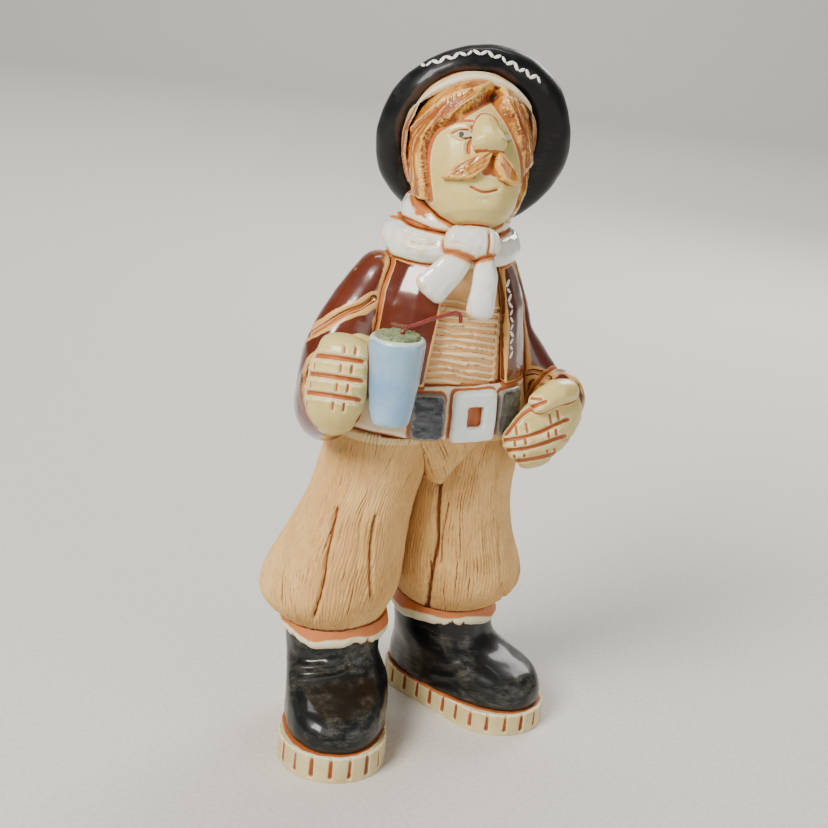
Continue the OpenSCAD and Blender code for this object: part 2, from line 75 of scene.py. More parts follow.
class Value:
    """A shader socket that can be used in arithmetic."""

    def __init__(self, kit: "Kit", socket: bpy.types.NodeSocket) -> None:
        """Keeps the node builder and the socket."""
        self.kit = kit
        self.socket = socket

    def __add__(self, other: "Value | float") -> "Value":
        """Adds."""
        return self.kit.math("ADD", self, other)

    __radd__ = __add__

    def __sub__(self, other: "Value | float") -> "Value":
        """Subtracts."""
        return self.kit.math("SUBTRACT", self, other)

    def __rsub__(self, other: float) -> "Value":
        """Subtracts this from a number."""
        return self.kit.math("SUBTRACT", other, self)

    def __mul__(self, other: "Value | float") -> "Value":
        """Multiplies."""
        return self.kit.math("MULTIPLY", self, other)

    __rmul__ = __mul__

    def at_least(self, other: "Value | float") -> "Value":
        """The larger of two values."""
        return self.kit.math("MAXIMUM", self, other)

    def step(self, low: float, high: float) -> "Value":
        """A smooth step.

        Args:
            low: where it starts to rise from 0.
            high: where it reaches 1.

        Returns:
            The stepped value.
        """
        node = self.kit.node(
            "ShaderNodeMapRange", {"interpolation_type": "SMOOTHSTEP"},
            {"Value": self, "From Min": low, "From Max": high},
        )
        return Value(self.kit, node.outputs[0])


class Kit:
    """Builds the nodes of one material."""

    def __init__(self, name: str) -> None:
        """Makes an empty material with one principled shader.

        Args:
            name: the material's name.
        """
        self.material = bpy.data.materials.new(name)
        self.material.use_nodes = True
        self.tree = self.material.node_tree
        self.tree.nodes.clear()
        self.shader = self.tree.nodes.new("ShaderNodeBsdfPrincipled")
        out = self.tree.nodes.new("ShaderNodeOutputMaterial")
        self.tree.links.new(self.shader.outputs[0], out.inputs["Surface"])

    def node(self, kind: str, settings: dict, sockets: dict) -> bpy.types.Node:
        """Makes one node.

        Args:
            kind: the node's type.
            settings: its properties, set before its sockets.
            sockets: values or links by socket name or number.

        Returns:
            The new node.
        """
        made = self.tree.nodes.new(kind)
        for key, value in settings.items():
            setattr(made, key, value)
        for key, value in sockets.items():
            self.feed(made.inputs[key], value)
        return made

    def feed(self, socket: bpy.types.NodeSocket, value: "Value | float | tuple") -> None:
        """Links a value to a socket, or sets the number or colour on it.

        Args:
            socket: the socket.
            value: what it is given.
        """
        if isinstance(value, Value):
            self.tree.links.new(value.socket, socket)
        elif isinstance(value, tuple) and len(value) == 3 and socket.type == "RGBA":
            socket.default_value = (*value, 1.0)
        else:
            socket.default_value = value

    def math(self, operation: str, a: "Value | float", b: "Value | float") -> Value:
        """One Math node on two values."""
        made = self.node("ShaderNodeMath", {"operation": operation}, {0: a, 1: b})
        return Value(self, made.outputs[0])

    def place(self, scale: Colour = (1.0, 1.0, 1.0), turn: Colour = (0.0, 0.0, 0.0)) -> Value:
        """Object coordinates, stretched and turned.

        Args:
            scale: the stretch along each axis.
            turn: the turn about each axis.

        Returns:
            The coordinates.
        """
        coords = self.node("ShaderNodeTexCoord", {}, {})
        sockets = {"Vector": Value(self, coords.outputs["Object"]), "Scale": scale, "Rotation": turn}
        return Value(self, self.node("ShaderNodeMapping", {}, sockets).outputs[0])

    def noise(self, per_metre: float, detail: float = 2.0, rough: float = 0.5,
              where: "Value | None" = None) -> Value:
        """Noise between about 0 and 1.

        Args:
            per_metre: how many blotches there are to a metre.
            detail: octaves.
            rough: how strong the finer octaves are.
            where: coordinates, or the object's own.

        Returns:
            The noise's value.
        """
        sockets = {"Vector": where or self.place(), "Scale": per_metre, "Detail": detail, "Roughness": rough}
        return Value(self, self.node("ShaderNodeTexNoise", {}, sockets).outputs[0])

    def attribute(self, name: str) -> Value:
        """A value stored on the mesh's points."""
        made = self.node("ShaderNodeAttribute", {"attribute_name": name}, {})
        return Value(self, made.outputs["Fac"])

    def mix(self, factor: "Value | float", a: "Value | Colour", b: "Value | Colour") -> Value:
        """Blends two colours."""
        made = self.node("ShaderNodeMix", {"data_type": "RGBA"}, {0: factor, 6: a, 7: b})
        return Value(self, made.outputs[2])

    def bump(self, height: Value, distance: float, strength: float = 1.0) -> None:
        """Bumps the shader's surface by a height.

        Args:
            height: the height field.
            distance: metres that a height of 1 stands for.
            strength: how much of the bump is used.
        """
        sockets = {"Height": height, "Distance": distance, "Strength": strength}
        made = self.node("ShaderNodeBump", {}, sockets)
        self.set("Normal", Value(self, made.outputs[0]))

    def set(self, name: str, value: "Value | float | Colour") -> None:
        """Feeds a socket of the principled shader."""
        self.feed(self.shader.inputs[name], value)


# ---------------------------------------------------------------- finishes

RUST = hex_colour("b4622c")
BARE_CREAM = hex_colour("e6dcb6")


@dataclass(frozen=True)
class Finish:
    """One glaze or bare clay, with the wash that lies in its cuts.

    Attributes:
        slot: the record's material slot.
        base: the main colour.
        shade: the colour that the main one drifts to.
        thin: the colour where the coat is drawn thin over an edge; on the combed trousers it is a painted
        highlight on the burrs, and on the beret's rim partly a painted reflection.
        wash: the colour of the wash in cuts and seams.
        rough: roughness of the coat.
        bare: roughness where the wash lies.
        coat: weight of the clear coat.
        thin_from: the edge value at which the thin-edge colour starts.
        wash_from: the wash value at which the stain starts.
        drift: blotches to a metre of the drift in colour.
        grain: depth of the fine grain, in metres.
        halo: the wash value at which the coat ends and the bare rim round a seam shows.
        clear: roughness of the clear coat.
    """

    slot: str
    base: Colour
    shade: Colour
    thin: Colour
    wash: Colour = RUST
    rough: float = 0.4
    bare: float = 0.6
    coat: float = 0.0
    thin_from: float = 0.35
    wash_from: float = 0.25
    drift: float = 90.0
    grain: float = 0.00006
    halo: float = 0.12
    clear: float = 0.05

    def colour(self, kit: Kit) -> Value:
        """The coat's own colour, before the wash and the thin edges."""
        cloud = kit.noise(self.drift, 4.0, 0.6).step(0.32, 0.68)
        return kit.mix(cloud, self.base, self.shade)

    def material(self) -> bpy.types.Material:
        """Builds the whole finish.

        Returns:
            The material.
        """
        kit = Kit(self.slot)
        ragged = kit.noise(900.0, 3.0, 0.65) - 0.5
        wash = (kit.attribute("wash") + ragged * 0.35).step(self.wash_from, self.wash_from + 0.35)
        # Thin-edge colour: glaze drawn thin over edges; on the combed burrs it is a painted highlight, and
        # on the beret's rim partly a painted reflection.
        thin = (kit.attribute("edge") + ragged * 0.3).step(self.thin_from, self.thin_from + 0.3)
        deep = (kit.attribute("wash") + ragged * 0.2).step(0.95, 1.3)
        stain = kit.mix(deep, self.wash, tuple(c * 0.5 for c in self.wash))
        halo = (kit.attribute("wash") + ragged * 0.2).step(self.halo, self.halo + 0.14)
        thin = thin.at_least(halo)
        coated = kit.mix(thin, self.colour(kit), self.thin)
        kit.set("Base Color", kit.mix(wash, coated, stain))
        bare = wash.at_least(thin * 0.6)
        kit.set("Roughness", bare * (self.bare - self.rough) + self.rough + ragged * 0.06)
        if self.coat:
            kit.set("Coat Weight", (1.0 - bare) * self.coat)
            kit.set("Coat Roughness", self.clear)
        self.surface(kit, bare)
        return kit.material

    def surface(self, kit: Kit, bare: Value) -> None:
        """Fine relief: a faint ripple under the coat, and grain where it is bare.

        Args:
            kit: the material's node builder.
            bare: how bare the clay is.
        """
        ripple = kit.noise(260.0, 1.0)
        grain = kit.noise(3200.0, 3.0, 0.7)
        if self.coat:
            height = ripple * 0.5 + grain * bare * 0.5
            kit.bump(height, self.grain * 2.5, 0.6)
        else:
            kit.bump(grain + ripple * 0.6, self.grain, 0.8)


@dataclass(frozen=True)
class BrushedBlack(Finish):
    """Black glaze with grey, brushed smears."""

    smear: Colour = hex_colour("6f7777")
    amount: float = 0.55

    def colour(self, kit: Kit) -> Value:
        """Black, with blotchy grey scuffs that are broken by finer strokes.

        Args:
            kit: the material's node builder.

        Returns:
            The colour.
        """
        patches = kit.noise(52.0, 4.0, 0.7).step(0.44, 0.62)
        strokes = kit.noise(240.0, 5.0, 0.75, kit.place((1.0, 1.0, 3.0), (0.5, 0.35, 0.0))).step(0.4, 0.66)
        specks = kit.noise(2200.0, 2.0, 0.6).step(0.4, 0.7)
        cover = patches * strokes * (specks * 0.5 + 0.5) * self.amount
        kit.set("Specular IOR Level", 0.2)
        drift = kit.mix(kit.noise(70.0, 3.0).step(0.35, 0.7), self.base, self.shade)
        return kit.mix(cover, drift, self.smear)


@dataclass(frozen=True)
class Combed(Finish):
    """Bare clay dragged with a stick: darker scratches between burrs whose tops take a painted highlight."""

    def colour(self, kit: Kit) -> Value:
        """Tan, with fine upright scratches.

        Args:
            kit: the material's node builder.

        Returns:
            The colour.
        """
        cloud = kit.noise(self.drift, 4.0, 0.6).step(0.32, 0.68)
        scratch = kit.noise(1500.0, 2.0, 0.6, kit.place((1.0, 1.0, 0.07))).step(0.52, 0.66)
        pale = kit.noise(1900.0, 2.0, 0.6, kit.place((1.0, 1.0, 0.12))).step(0.54, 0.7)
        earth = kit.mix(cloud, self.base, self.shade)
        return kit.mix(scratch * 0.28, kit.mix(pale * 0.35, earth, self.thin), self.wash)

    def surface(self, kit: Kit, bare: Value) -> None:
        """Scratches and grain.

        Args:
            kit: the material's node builder.
            bare: not used, because the whole cloth is bare clay.
        """
        lines = kit.noise(1500.0, 2.0, 0.6, kit.place((1.0, 1.0, 0.07)))
        grain = kit.noise(3200.0, 3.0, 0.7)
        kit.bump(grain * 0.35 - lines, self.grain * 2.2, 0.9)


@dataclass(frozen=True)
class Streaked(Finish):
    """Honey glaze that pools dark between the carved strands."""

    light: Colour = hex_colour("e0a640")

    def colour(self, kit: Kit) -> Value:
        """Honey brown, with lighter streaks along the strands.

        Args:
            kit: the material's node builder.

        Returns:
            The colour.
        """
        streak = kit.noise(420.0, 4.0, 0.7, kit.place((1.0, 1.0, 0.25))).step(0.42, 0.66)
        pool = kit.noise(120.0, 2.0).step(0.35, 0.65)
        return kit.mix(streak * 0.75, kit.mix(pool, self.base, self.shade), self.light)


class Finishes(Enum):
    """Every finish on the figure."""

    SOLE = Finish("sole_clay", hex_colour("d6ca97"), hex_colour("c4b27c"), BARE_CREAM, rough=0.42)
    BOOT = BrushedBlack("boot_glaze", hex_colour("090a0a"), hex_colour("141718"), hex_colour("2c2a26"),
                        hex_colour("2b1a10"), 0.34, 0.45, 0.35, 0.75, 0.7, halo=2.0, clear=0.1,
                        smear=hex_colour("66655a"), amount=0.6)
    CUFF = Finish("cuff_clay", hex_colour("e6d0a0"), hex_colour("d9b27c"), BARE_CREAM,
                  hex_colour("c07038"), 0.36, 0.55, thin_from=0.3, wash_from=0.2, drift=120.0, halo=2.0)
    # On the trousers the pale thin-edge colour is a painted highlight on the burr tops.
    TROUSERS = Combed("trouser_clay", hex_colour("e7bb76"), hex_colour("d1a05c"), hex_colour("eccf94"),
                      hex_colour("8f5429"), 0.68, 0.8, thin_from=0.35, wash_from=0.3, drift=60.0,
                      grain=0.00014, halo=2.0)
    BELT = Finish("belt_glaze", hex_colour("e4d6b0"), hex_colour("d8b98a"), hex_colour("f0e4c4"),
                  hex_colour("b9652f"), 0.25, 0.5, 0.3, 0.4, 0.22)
    BUCKLE = Finish("buckle_glaze", hex_colour("f2f6f3"), hex_colour("e4eae8"), hex_colour("e8dcc0"),
                    hex_colour("b4562a"), 0.12, 0.5, 0.8, 0.6, 0.4)
    PLATE = BrushedBlack("plate_glaze", hex_colour("2a2e33"), hex_colour("44494e"), hex_colour("8a8478"),
                         RUST, 0.12, 0.45, 0.7, 0.35, 0.5, smear=hex_colour("8b959c"), amount=0.5, halo=0.3)
    SHIRT = Finish("shirt_clay", hex_colour("f8cc8c"), hex_colour("ecb472"), hex_colour("f6d8a4"),
                   hex_colour("a9602f"), 0.5, 0.65, thin_from=0.6, wash_from=0.25, drift=80.0)
    JACKET = Finish("jacket_glaze", hex_colour("4c1504"), hex_colour("642608"), hex_colour("d9a560"),
                    hex_colour("b2602a"), 0.24, 0.5, 0.7, 0.55, 0.42, 50.0, halo=0.3)
    SKIN = Finish("skin_clay", hex_colour("d9c67a"), hex_colour("c9b166"), hex_colour("e6d8a2"),
                  RUST, 0.34, 0.55, 0.2, 0.6, 0.26, 70.0)
    GOURD = Finish("gourd_glaze", hex_colour("6b9cc6"), hex_colour("90b2ca"), hex_colour("c3d2cc"),
                   hex_colour("a8744a"), 0.12, 0.5, 0.9, 0.6, 0.6, 75.0)
    LEAVES = Finish("leaf_fill", hex_colour("8f9a70"), hex_colour("6f7b55"), hex_colour("b5b890"),
                    hex_colour("5d5632"), 0.7, 0.8, drift=500.0, grain=0.0002, halo=0.6)
    STRAW = Finish("straw_wire", hex_colour("8a1d12"), hex_colour("70160e"), hex_colour("a8462f"),
                   hex_colour("5c2015"), 0.25, 0.5, 0.4, 2.0, 2.0, 300.0, halo=2.0)
    SCARF = Finish("scarf_glaze", hex_colour("f2f5ee"), hex_colour("e8e8da"), hex_colour("e9dcba"),
                   hex_colour("bb6f38"), 0.12, 0.5, 0.8, 0.45, 0.3, 60.0)
    HAIR = Streaked("hair_glaze", hex_colour("b56a1c"), hex_colour("96501a"), hex_colour("e0ac55"),
                    hex_colour("8f4614"), 0.16, 0.5, 0.7, 0.4, 0.42, halo=2.0)
    EYE = Finish("eye_glaze", hex_colour("c9c0a0"), hex_colour("b8ad8c"), BARE_CREAM, hex_colour("2e2a20"),
                 0.6, 0.6, 0.0, 2.0, 0.4, halo=2.0)
    BAND = Finish("band_clay", hex_colour("e8dcb4"), hex_colour("dcc08c"), BARE_CREAM,
                  hex_colour("bd6e36"), 0.38, 0.55, thin_from=0.3, wash_from=0.3)
    # On the beret the dark red-brown thin-edge colour is partly chipped glaze and partly a painted
    # reflection along the rim.
    BERET = BrushedBlack("beret_glaze", hex_colour("050606"), hex_colour("0c0e0f"), hex_colour("3a2a22"),
                         hex_colour("24170f"), 0.4, 0.45, 0.15, 0.8, 0.75, smear=hex_colour("4a5050"),
                         amount=0.35, halo=2.0, clear=0.05)

    @property
    def slot(self) -> str:
        """The record's slot of this finish."""
        return self.value.slot


class Palette:
    """Makes each finish's material once."""

    def __init__(self) -> None:
        """Starts with no materials."""
        self.made: dict[Finishes, bpy.types.Material] = {}

    def get(self, finish: Finishes) -> bpy.types.Material:
        """The material of a finish.

        Args:
            finish: the finish.

        Returns:
            Its material, made when it is first asked for.
        """
        if finish not in self.made:
            self.made[finish] = finish.value.material()
        return self.made[finish]

    def plain(self, name: str, colour: Colour, rough: float) -> bpy.types.Material:
        """A plain, slightly uneven paper, for the floor.

        Args:
            name: the material's name.
            colour: its colour.
            rough: its roughness.

        Returns:
            The material.
        """
        kit = Kit(name)
        cloud = kit.noise(700.0, 3.0, 0.6).step(0.3, 0.7)
        kit.set("Base Color", kit.mix(cloud, colour, tuple(c * 0.88 for c in colour)))
        kit.set("Roughness", cloud * 0.1 + rough)
        return kit.material


PALETTE = Palette()

# ---------------------------------------------------------------- clay skins

# The viewer stands before a point near the figure's foot; lengths are in millimetres.
SEAM_REACH = 0.9
OFF_MIDDLE = (1.4, 0.76)
SIDE = (0.891, -0.454)
EYE_REACH = 372.0
EYE_HEIGHT = 215.0
ACROSS = Vector((*SIDE, 0.0))
AHEAD = Vector((-SIDE[1], SIDE[0], 0.0))
UP = Vector((0.0, 0.0, 1.0))


def smooth_step(value: np.ndarray, low: float, high: float) -> np.ndarray:
    """A smooth step from 0 at low to 1 at high."""
    t = np.clip((value - low) / (high - low), 0.0, 1.0)
    return t * t * (3.0 - 2.0 * t)


def lumps(where: np.ndarray, seed: int) -> np.ndarray:
    """Smooth random values between -1 and 1, one lump to a unit.

    Args:
        where: N by 3 coordinates.
        seed: which lumps.

    Returns:
        N values.
    """
    side = 32
    table = np.random.default_rng(SEED * 100 + seed).uniform(-1, 1, (side, side, side))
    cell = np.floor(where).astype(int)
    part = where - cell
    part = part * part * (3.0 - 2.0 * part)
    total = np.zeros(len(where))
    for corner in range(8):
        step = np.array([corner & 1, corner >> 1 & 1, corner >> 2 & 1])
        weight = np.prod(np.where(step, part, 1.0 - part), axis=1)
        i, j, k = ((cell + step) % side).T
        total += weight * table[i, j, k]
    return total


def flowing(path: tuple[Point2, ...], parts: int = 5) -> np.ndarray:
    """A smooth line through the given points.

    Args:
        path: the points.
        parts: how many steps there are between two of them.

    Returns:
        M by 2 points of the line.
    """
    pts = np.array(path, float)
    if len(pts) < 3:
        return pts
    ends = np.vstack([2 * pts[0] - pts[1], pts, 2 * pts[-1] - pts[-2]])
    out = []
    for i in range(1, len(ends) - 2):
        a, b, c, d = ends[i - 1 : i + 3]
        for t in np.arange(parts) / parts:
            out.append(0.5 * (2 * b + (c - a) * t + (2 * a - 5 * b + 4 * c - d) * t**2
                              + (3 * b - a - 3 * c + d) * t**3))
    return np.vstack([out, pts[-1]])


def reach(points: np.ndarray, line: np.ndarray) -> tuple[np.ndarray, np.ndarray]:
    """How far points lie from a line, and how far along it.

    Args:
        points: N by 2.
        line: M by 2.

    Returns:
        The distances, and the lengths along the line.
    """
    best = np.full(len(points), 1e9)
    along = np.zeros(len(points))
    start = 0.0
    for a, b in zip(line[:-1], line[1:]):
        run = b - a
        length = math.hypot(*run) or 1e-9
        t = np.clip((points - a) @ run / length**2, 0.0, 1.0)
        away = np.linalg.norm(points - a - t[:, None] * run, axis=1)
        nearer = away < best
        best = np.where(nearer, away, best)
        along = np.where(nearer, start + t * length, along)
        start += length
    return best, along


def part_way(line: np.ndarray, share: float) -> np.ndarray:
    """The point at a share of a line's length."""
    lengths = np.concatenate([[0.0], np.cumsum(np.linalg.norm(np.diff(line, axis=0), axis=1))])
    return np.array([np.interp(share * lengths[-1], lengths, line[:, k]) for k in range(2)])


@dataclass(frozen=True)
class Cut:
    """One stroke of the knife, laid out on the front.

    Attributes:
        path: its course, in millimetres across and up.
        width: its half width.
        depth: its depth; a negative one raises a ridge.
        stain: how much wash lies in it.
        lip: height of the burr at each side, as a part of the depth.
        blunt: whether its ends keep their full depth.
    """

    path: tuple[Point2, ...]
    width: float = 0.5
    depth: float = 0.5
    stain: float = 1.0
    lip: float = 0.12
    blunt: bool = False

    def shape(self, at: np.ndarray) -> tuple[np.ndarray, np.ndarray]:
        """How the cut shapes the surface.

        Args:
            at: N by 2 places on the front.

        Returns:
            How deep the cut is at each place, and its stain there.
        """
        line = flowing(self.path)
        away, along = reach(at, line)
        length = float(np.linalg.norm(np.diff(line, axis=0), axis=1).sum())
        taper = 1.0 if self.blunt else smooth_step(np.minimum(along, length - along), -0.2, self.width * 2.2)
        hollow = np.exp(-((away / self.width) ** 2)) * taper
        burr = np.exp(-(((away - self.width * 2.0) / (self.width * 0.7)) ** 2)) * taper
        return self.depth * (hollow - self.lip * burr), self.stain * hollow**1.4


@dataclass(frozen=True)
class Lines:
    """Cuts laid out on the upright plane that faces the viewer, measured from one solid's middle.

    Attributes:
        out: how far the plane stands in front of the figure's middle.
        about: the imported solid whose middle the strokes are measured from.
        cuts: the strokes.
    """

    out: float
    about: str
    cuts: tuple[Cut, ...] = ()

    def origin(self) -> np.ndarray:
        """Where the middle of the solid's box is seen on the plane."""
        low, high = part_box(self.about)
        return self.seen((np.array([low]) + np.array([high])) / (2 * MM))[0]

    def lay(self, points: np.ndarray) -> np.ndarray:
        """Where points are seen on the plane, from the solid's middle.

        Args:
            points: N by 3, in millimetres.

        Returns:
            N by 2, across and up.
        """
        return self.seen(points) - self.origin()

    def seen(self, points: np.ndarray) -> np.ndarray:
        """Where points are seen on the plane, from the figure's foot.

        Args:
            points: N by 3, in millimetres.

        Returns:
            N by 2, across and up.
        """
        x = points[:, 0] + OFF_MIDDLE[0]
        y = points[:, 1] + OFF_MIDDLE[1]
        across = SIDE[0] * x + SIDE[1] * y
        towards = SIDE[1] * x - SIDE[0] * y
        closer = (EYE_REACH - self.out) / (EYE_REACH - towards)
        return np.column_stack([across * closer, EYE_HEIGHT - (EYE_HEIGHT - points[:, 2]) * closer])

    def project(self, path: tuple[Point2, ...], tree: BVHTree) -> list[tuple[Vector, Vector]]:
        """Throws a path from the plane onto a surface behind it, as the viewer sees it.

        Args:
            path: the path on the plane.
            tree: the surface, in millimetres.

        Returns:
            The points on the surface, each with the surface's direction.
        """
        middle = -Vector((*OFF_MIDDLE, 0.0))
        eye = middle - AHEAD * EYE_REACH + UP * EYE_HEIGHT
        found = []
        for across, up in flowing(path, 8) + self.origin():
            mark = middle - AHEAD * self.out + ACROSS * float(across) + UP * float(up)
            place, normal, _, _ = tree.ray_cast(eye, mark - eye)
            if place is not None:
                found.append((place, normal))
        return found


def within(points: np.ndarray, outline: np.ndarray) -> np.ndarray:
    """How far points lie inside a closed outline.

    Args:
        points: N by 2.
        outline: the outline's corners.

    Returns:
        The distances to the outline, negative outside it.
    """
    line = np.array([*outline, outline[0]], float)
    inside = np.zeros(len(points), bool)
    for (x0, y0), (x1, y1) in zip(line[:-1], line[1:]):
        crosses = (y0 > points[:, 1]) != (y1 > points[:, 1])
        at = x0 + (points[:, 1] - y0) * (x1 - x0) / ((y1 - y0) or 1e-9)
        inside ^= crosses & (points[:, 0] < at)
    away, _ = reach(points, line)
    return np.where(inside, away, -away)


def facing(normals: np.ndarray) -> np.ndarray:
    """How squarely the surface faces the viewer."""
    return normals[:, 0] * SIDE[1] - normals[:, 1] * SIDE[0]


class Skin:
    """A dense mesh of clay, worked in millimetres."""

    def __init__(self, mesh: bpy.types.Mesh, own: tuple[str, ...]) -> None:
        """Takes over a mesh.

        Args:
            mesh: the mesh, in metres.
            own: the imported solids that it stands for.
        """
        self.mesh = mesh
        self.own = own
        count = len(mesh.vertices)
        flat = np.zeros(count * 3)
        mesh.vertices.foreach_get("co", flat)
        self.points = flat.reshape(-1, 3) / MM
        ends = np.zeros(len(mesh.edges) * 2, int)
        mesh.edges.foreach_get("vertices", ends)
        self.ends = ends.reshape(-1, 2)
        self.degree = np.bincount(ends, minlength=count)
        self.wash = np.zeros(count)
        self.edge = np.zeros(count)

    @classmethod
    def of(cls, nodes: tuple[str, ...], grain: float, rub: int, swell: float = 0.12) -> "Skin":
        """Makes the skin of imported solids.

        Args:
            nodes: the solids.
            grain: the size of the mesh's faces.
            rub: how often its facets are rubbed down.
            swell: how far it is grown, so that pieces meet.

        Returns:
            The skin.
        """
        shape = bmesh.new()
        for node in nodes:
            shape.from_mesh(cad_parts[node].data)
        bmesh.ops.remove_doubles(shape, verts=shape.verts, dist=1e-6)
        copy = bpy.data.meshes.new("clay")
        shape.to_mesh(copy)
        shape.free()
        holder = bpy.data.objects.new("clay", copy)
        bpy.context.scene.collection.objects.link(holder)
        remesh = holder.modifiers.new("clay", "REMESH")
        remesh.mode = "VOXEL"
        remesh.voxel_size = grain * MM
        mesh = baked(holder)
        skin = cls(mesh, nodes)
        skin.relax(rub)
        skin.push(np.full(len(skin.points), swell))
        return skin

    def normals(self) -> np.ndarray:
        """Writes the points back to the mesh and reads its directions.

        Returns:
            The surface's direction at each point.
        """
        self.mesh.vertices.foreach_set("co", (self.points * MM).ravel())
        self.mesh.update()
        flat = np.zeros(len(self.points) * 3)
        self.mesh.vertex_normals.foreach_get("vector", flat)
        return flat.reshape(-1, 3)

    def average(self, values: np.ndarray) -> np.ndarray:
        """Each point's mean over its neighbours.

        Args:
            values: one number or one row for each point.

        Returns:
            The means, in the same shape.
        """
        a, b = self.ends.T
        count = len(self.points)
        if values.ndim == 1:
            total = np.bincount(a, values[b], count) + np.bincount(b, values[a], count)
            return total / self.degree
        return np.column_stack([self.average(values[:, k]) for k in range(values.shape[1])])

    def relax(self, times: int, part: float = 0.6) -> None:
        """Rubs the surface down."""
        for _ in range(times):
            self.points += part * (self.average(self.points) - self.points)

    def push(self, amount: np.ndarray) -> None:
        """Moves every point out along the surface's direction."""
        self.points += self.normals() * amount[:, None]

    def dent(self, size: float, depth: float, seed: int) -> None:
        """Gives the surface the soft unevenness of fingers.

        Args:
            size: how wide the dents are.
            depth: how deep they are.
            seed: which dents.
        """
        at = self.points / size
        self.push(depth * lumps(at, seed) + 0.4 * depth * lumps(at * 2.3, seed + 1))

    def carve(self, lines: Lines) -> None:
        """Makes the cuts, where the surface faces the viewer.

        Args:
            lines: the cuts.
        """
        normals = self.normals()
        seen = smooth_step(facing(normals), -0.15, 0.25)
        near = np.flatnonzero(seen > 0)
        at = lines.lay(self.points[near])
        sunk = np.zeros(len(near))
        stain = np.zeros(len(near))
        for cut in lines.cuts:
            path = np.array(cut.path)
            room = cut.width * 4.0
            inside = np.all((at > path.min(0) - room) & (at < path.max(0) + room), axis=1)
            some = np.flatnonzero(inside)
            if len(some) == 0:
                continue
            depth, mark = cut.shape(at[some])
            deeper = np.abs(depth) > np.abs(sunk[some])
            sunk[some] = np.where(deeper, depth, sunk[some])
            stain[some] = np.maximum(stain[some], mark)
        self.points[near] -= normals[near] * (sunk * seen[near])[:, None]
        self.wash[near] = np.maximum(self.wash[near], stain * seen[near])

    def patch(self, keep: np.ndarray, thick: float) -> "Skin":
        """Cuts a closed slab out of the skin.

        Args:
            keep: which points are kept.
            thick: the slab's thickness.

        Returns:
            The slab's own skin.
        """
        under = self.points - self.normals() * thick
        number = np.cumsum(keep) - 1
        half = int(keep.sum())
        shape = bmesh.new()
        corners = [shape.verts.new(p * MM) for p in np.vstack([self.points[keep], under[keep]])]
        for face in self.mesh.polygons:
            if all(keep[v] for v in face.vertices):
                ids = [int(number[v]) for v in face.vertices]
                shape.faces.new([corners[i] for i in ids])
                shape.faces.new([corners[i + half] for i in reversed(ids)])
        shape.verts.index_update()
        for edge in [e for e in shape.edges if e.is_boundary]:
            loop = edge.link_loops[0]
            a, b = loop.vert.index, loop.link_loop_next.vert.index
            if a < half:
                shape.faces.new([corners[b], corners[a], corners[a + half], corners[b + half]])
        bmesh.ops.delete(shape, geom=[v for v in shape.verts if not v.link_faces], context="VERTS")
        mesh = bpy.data.meshes.new("patch")
        shape.to_mesh(mesh)
        shape.free()
        return Skin(mesh, self.own)

    def weather(self, sharp: float = 0.1, hollow: float = 0.12, spread: int = 8) -> None:
        """Finds where wash gathers and where the glaze is drawn thin, which is also where the combed burrs
        get a painted highlight and the beret's rim partly a painted reflection.

        Args:
            sharp: how far an edge stands out, in millimetres, to be fully bare.
            hollow: how deep a hollow is to be fully stained.
            spread: how widely the shape is looked at.
        """
        normals = self.normals()
        flat = self.points.copy()
        for _ in range(spread):
            flat = self.average(flat)
        rise = np.einsum("ij,ij->i", flat - self.points, normals)
        rise = self.average(self.average(rise))
        self.edge = np.clip(np.maximum(self.edge, -rise / sharp), 0.0, 1.5)
        self.wash = np.maximum(self.wash, rise / hollow)

    def seams(self, reach_mm: float = SEAM_REACH, skip: tuple[str, ...] = ()) -> None:
        """Lets wash gather where another piece meets this one.

        Args:
            reach_mm: how near the other piece has to be.
            skip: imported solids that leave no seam.
        """
        corners = []
        faces = []
        for name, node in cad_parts.items():
            if name in self.own or name in skip:
                continue
            base = len(corners)
            corners.extend(v.co / MM for v in node.data.vertices)
            faces.extend(tuple(base + i for i in p.vertices) for p in node.data.polygons)
        tree = BVHTree.FromPolygons(corners, faces)
        away = np.full(len(self.points), reach_mm)
        for i, point in enumerate(self.points):
            hit = tree.find_nearest(point, reach_mm)
            if hit[0] is not None:
                away[i] = hit[3]
        self.wash = np.maximum(self.wash, 1.1 * (1.0 - away / reach_mm))

    def piece(self, name: str, finish: Finishes) -> bpy.types.Object:
        """Turns the skin into a finished piece.

        Args:
            name: the piece's name.
            finish: its glaze or clay.

        Returns:
            The piece.
        """
        self.normals()
        for label, values in (("wash", self.wash), ("edge", self.edge)):
            layer = self.mesh.attributes.new(label, "FLOAT", "POINT")
            layer.data.foreach_set("value", np.clip(values, 0.0, 1.5).astype(np.float32))
        return finished(name, self.mesh, finish, self.own)


def baked(holder: bpy.types.Object) -> bpy.types.Mesh:
    """Applies an object's modifiers and removes the object.

    Args:
        holder: the object.

    Returns:
        The mesh that its modifiers make.
    """
    graph = bpy.context.evaluated_depsgraph_get()
    mesh = bpy.data.meshes.new_from_object(holder.evaluated_get(graph))
    bpy.data.objects.remove(holder)
    return mesh


def surface_of(data: bpy.types.Mesh) -> BVHTree:
    """A mesh's surface, in millimetres, for finding the nearest place or what a ray meets."""
    corners = [v.co / MM for v in data.vertices]
    return BVHTree.FromPolygons(corners, [tuple(p.vertices) for p in data.polygons])


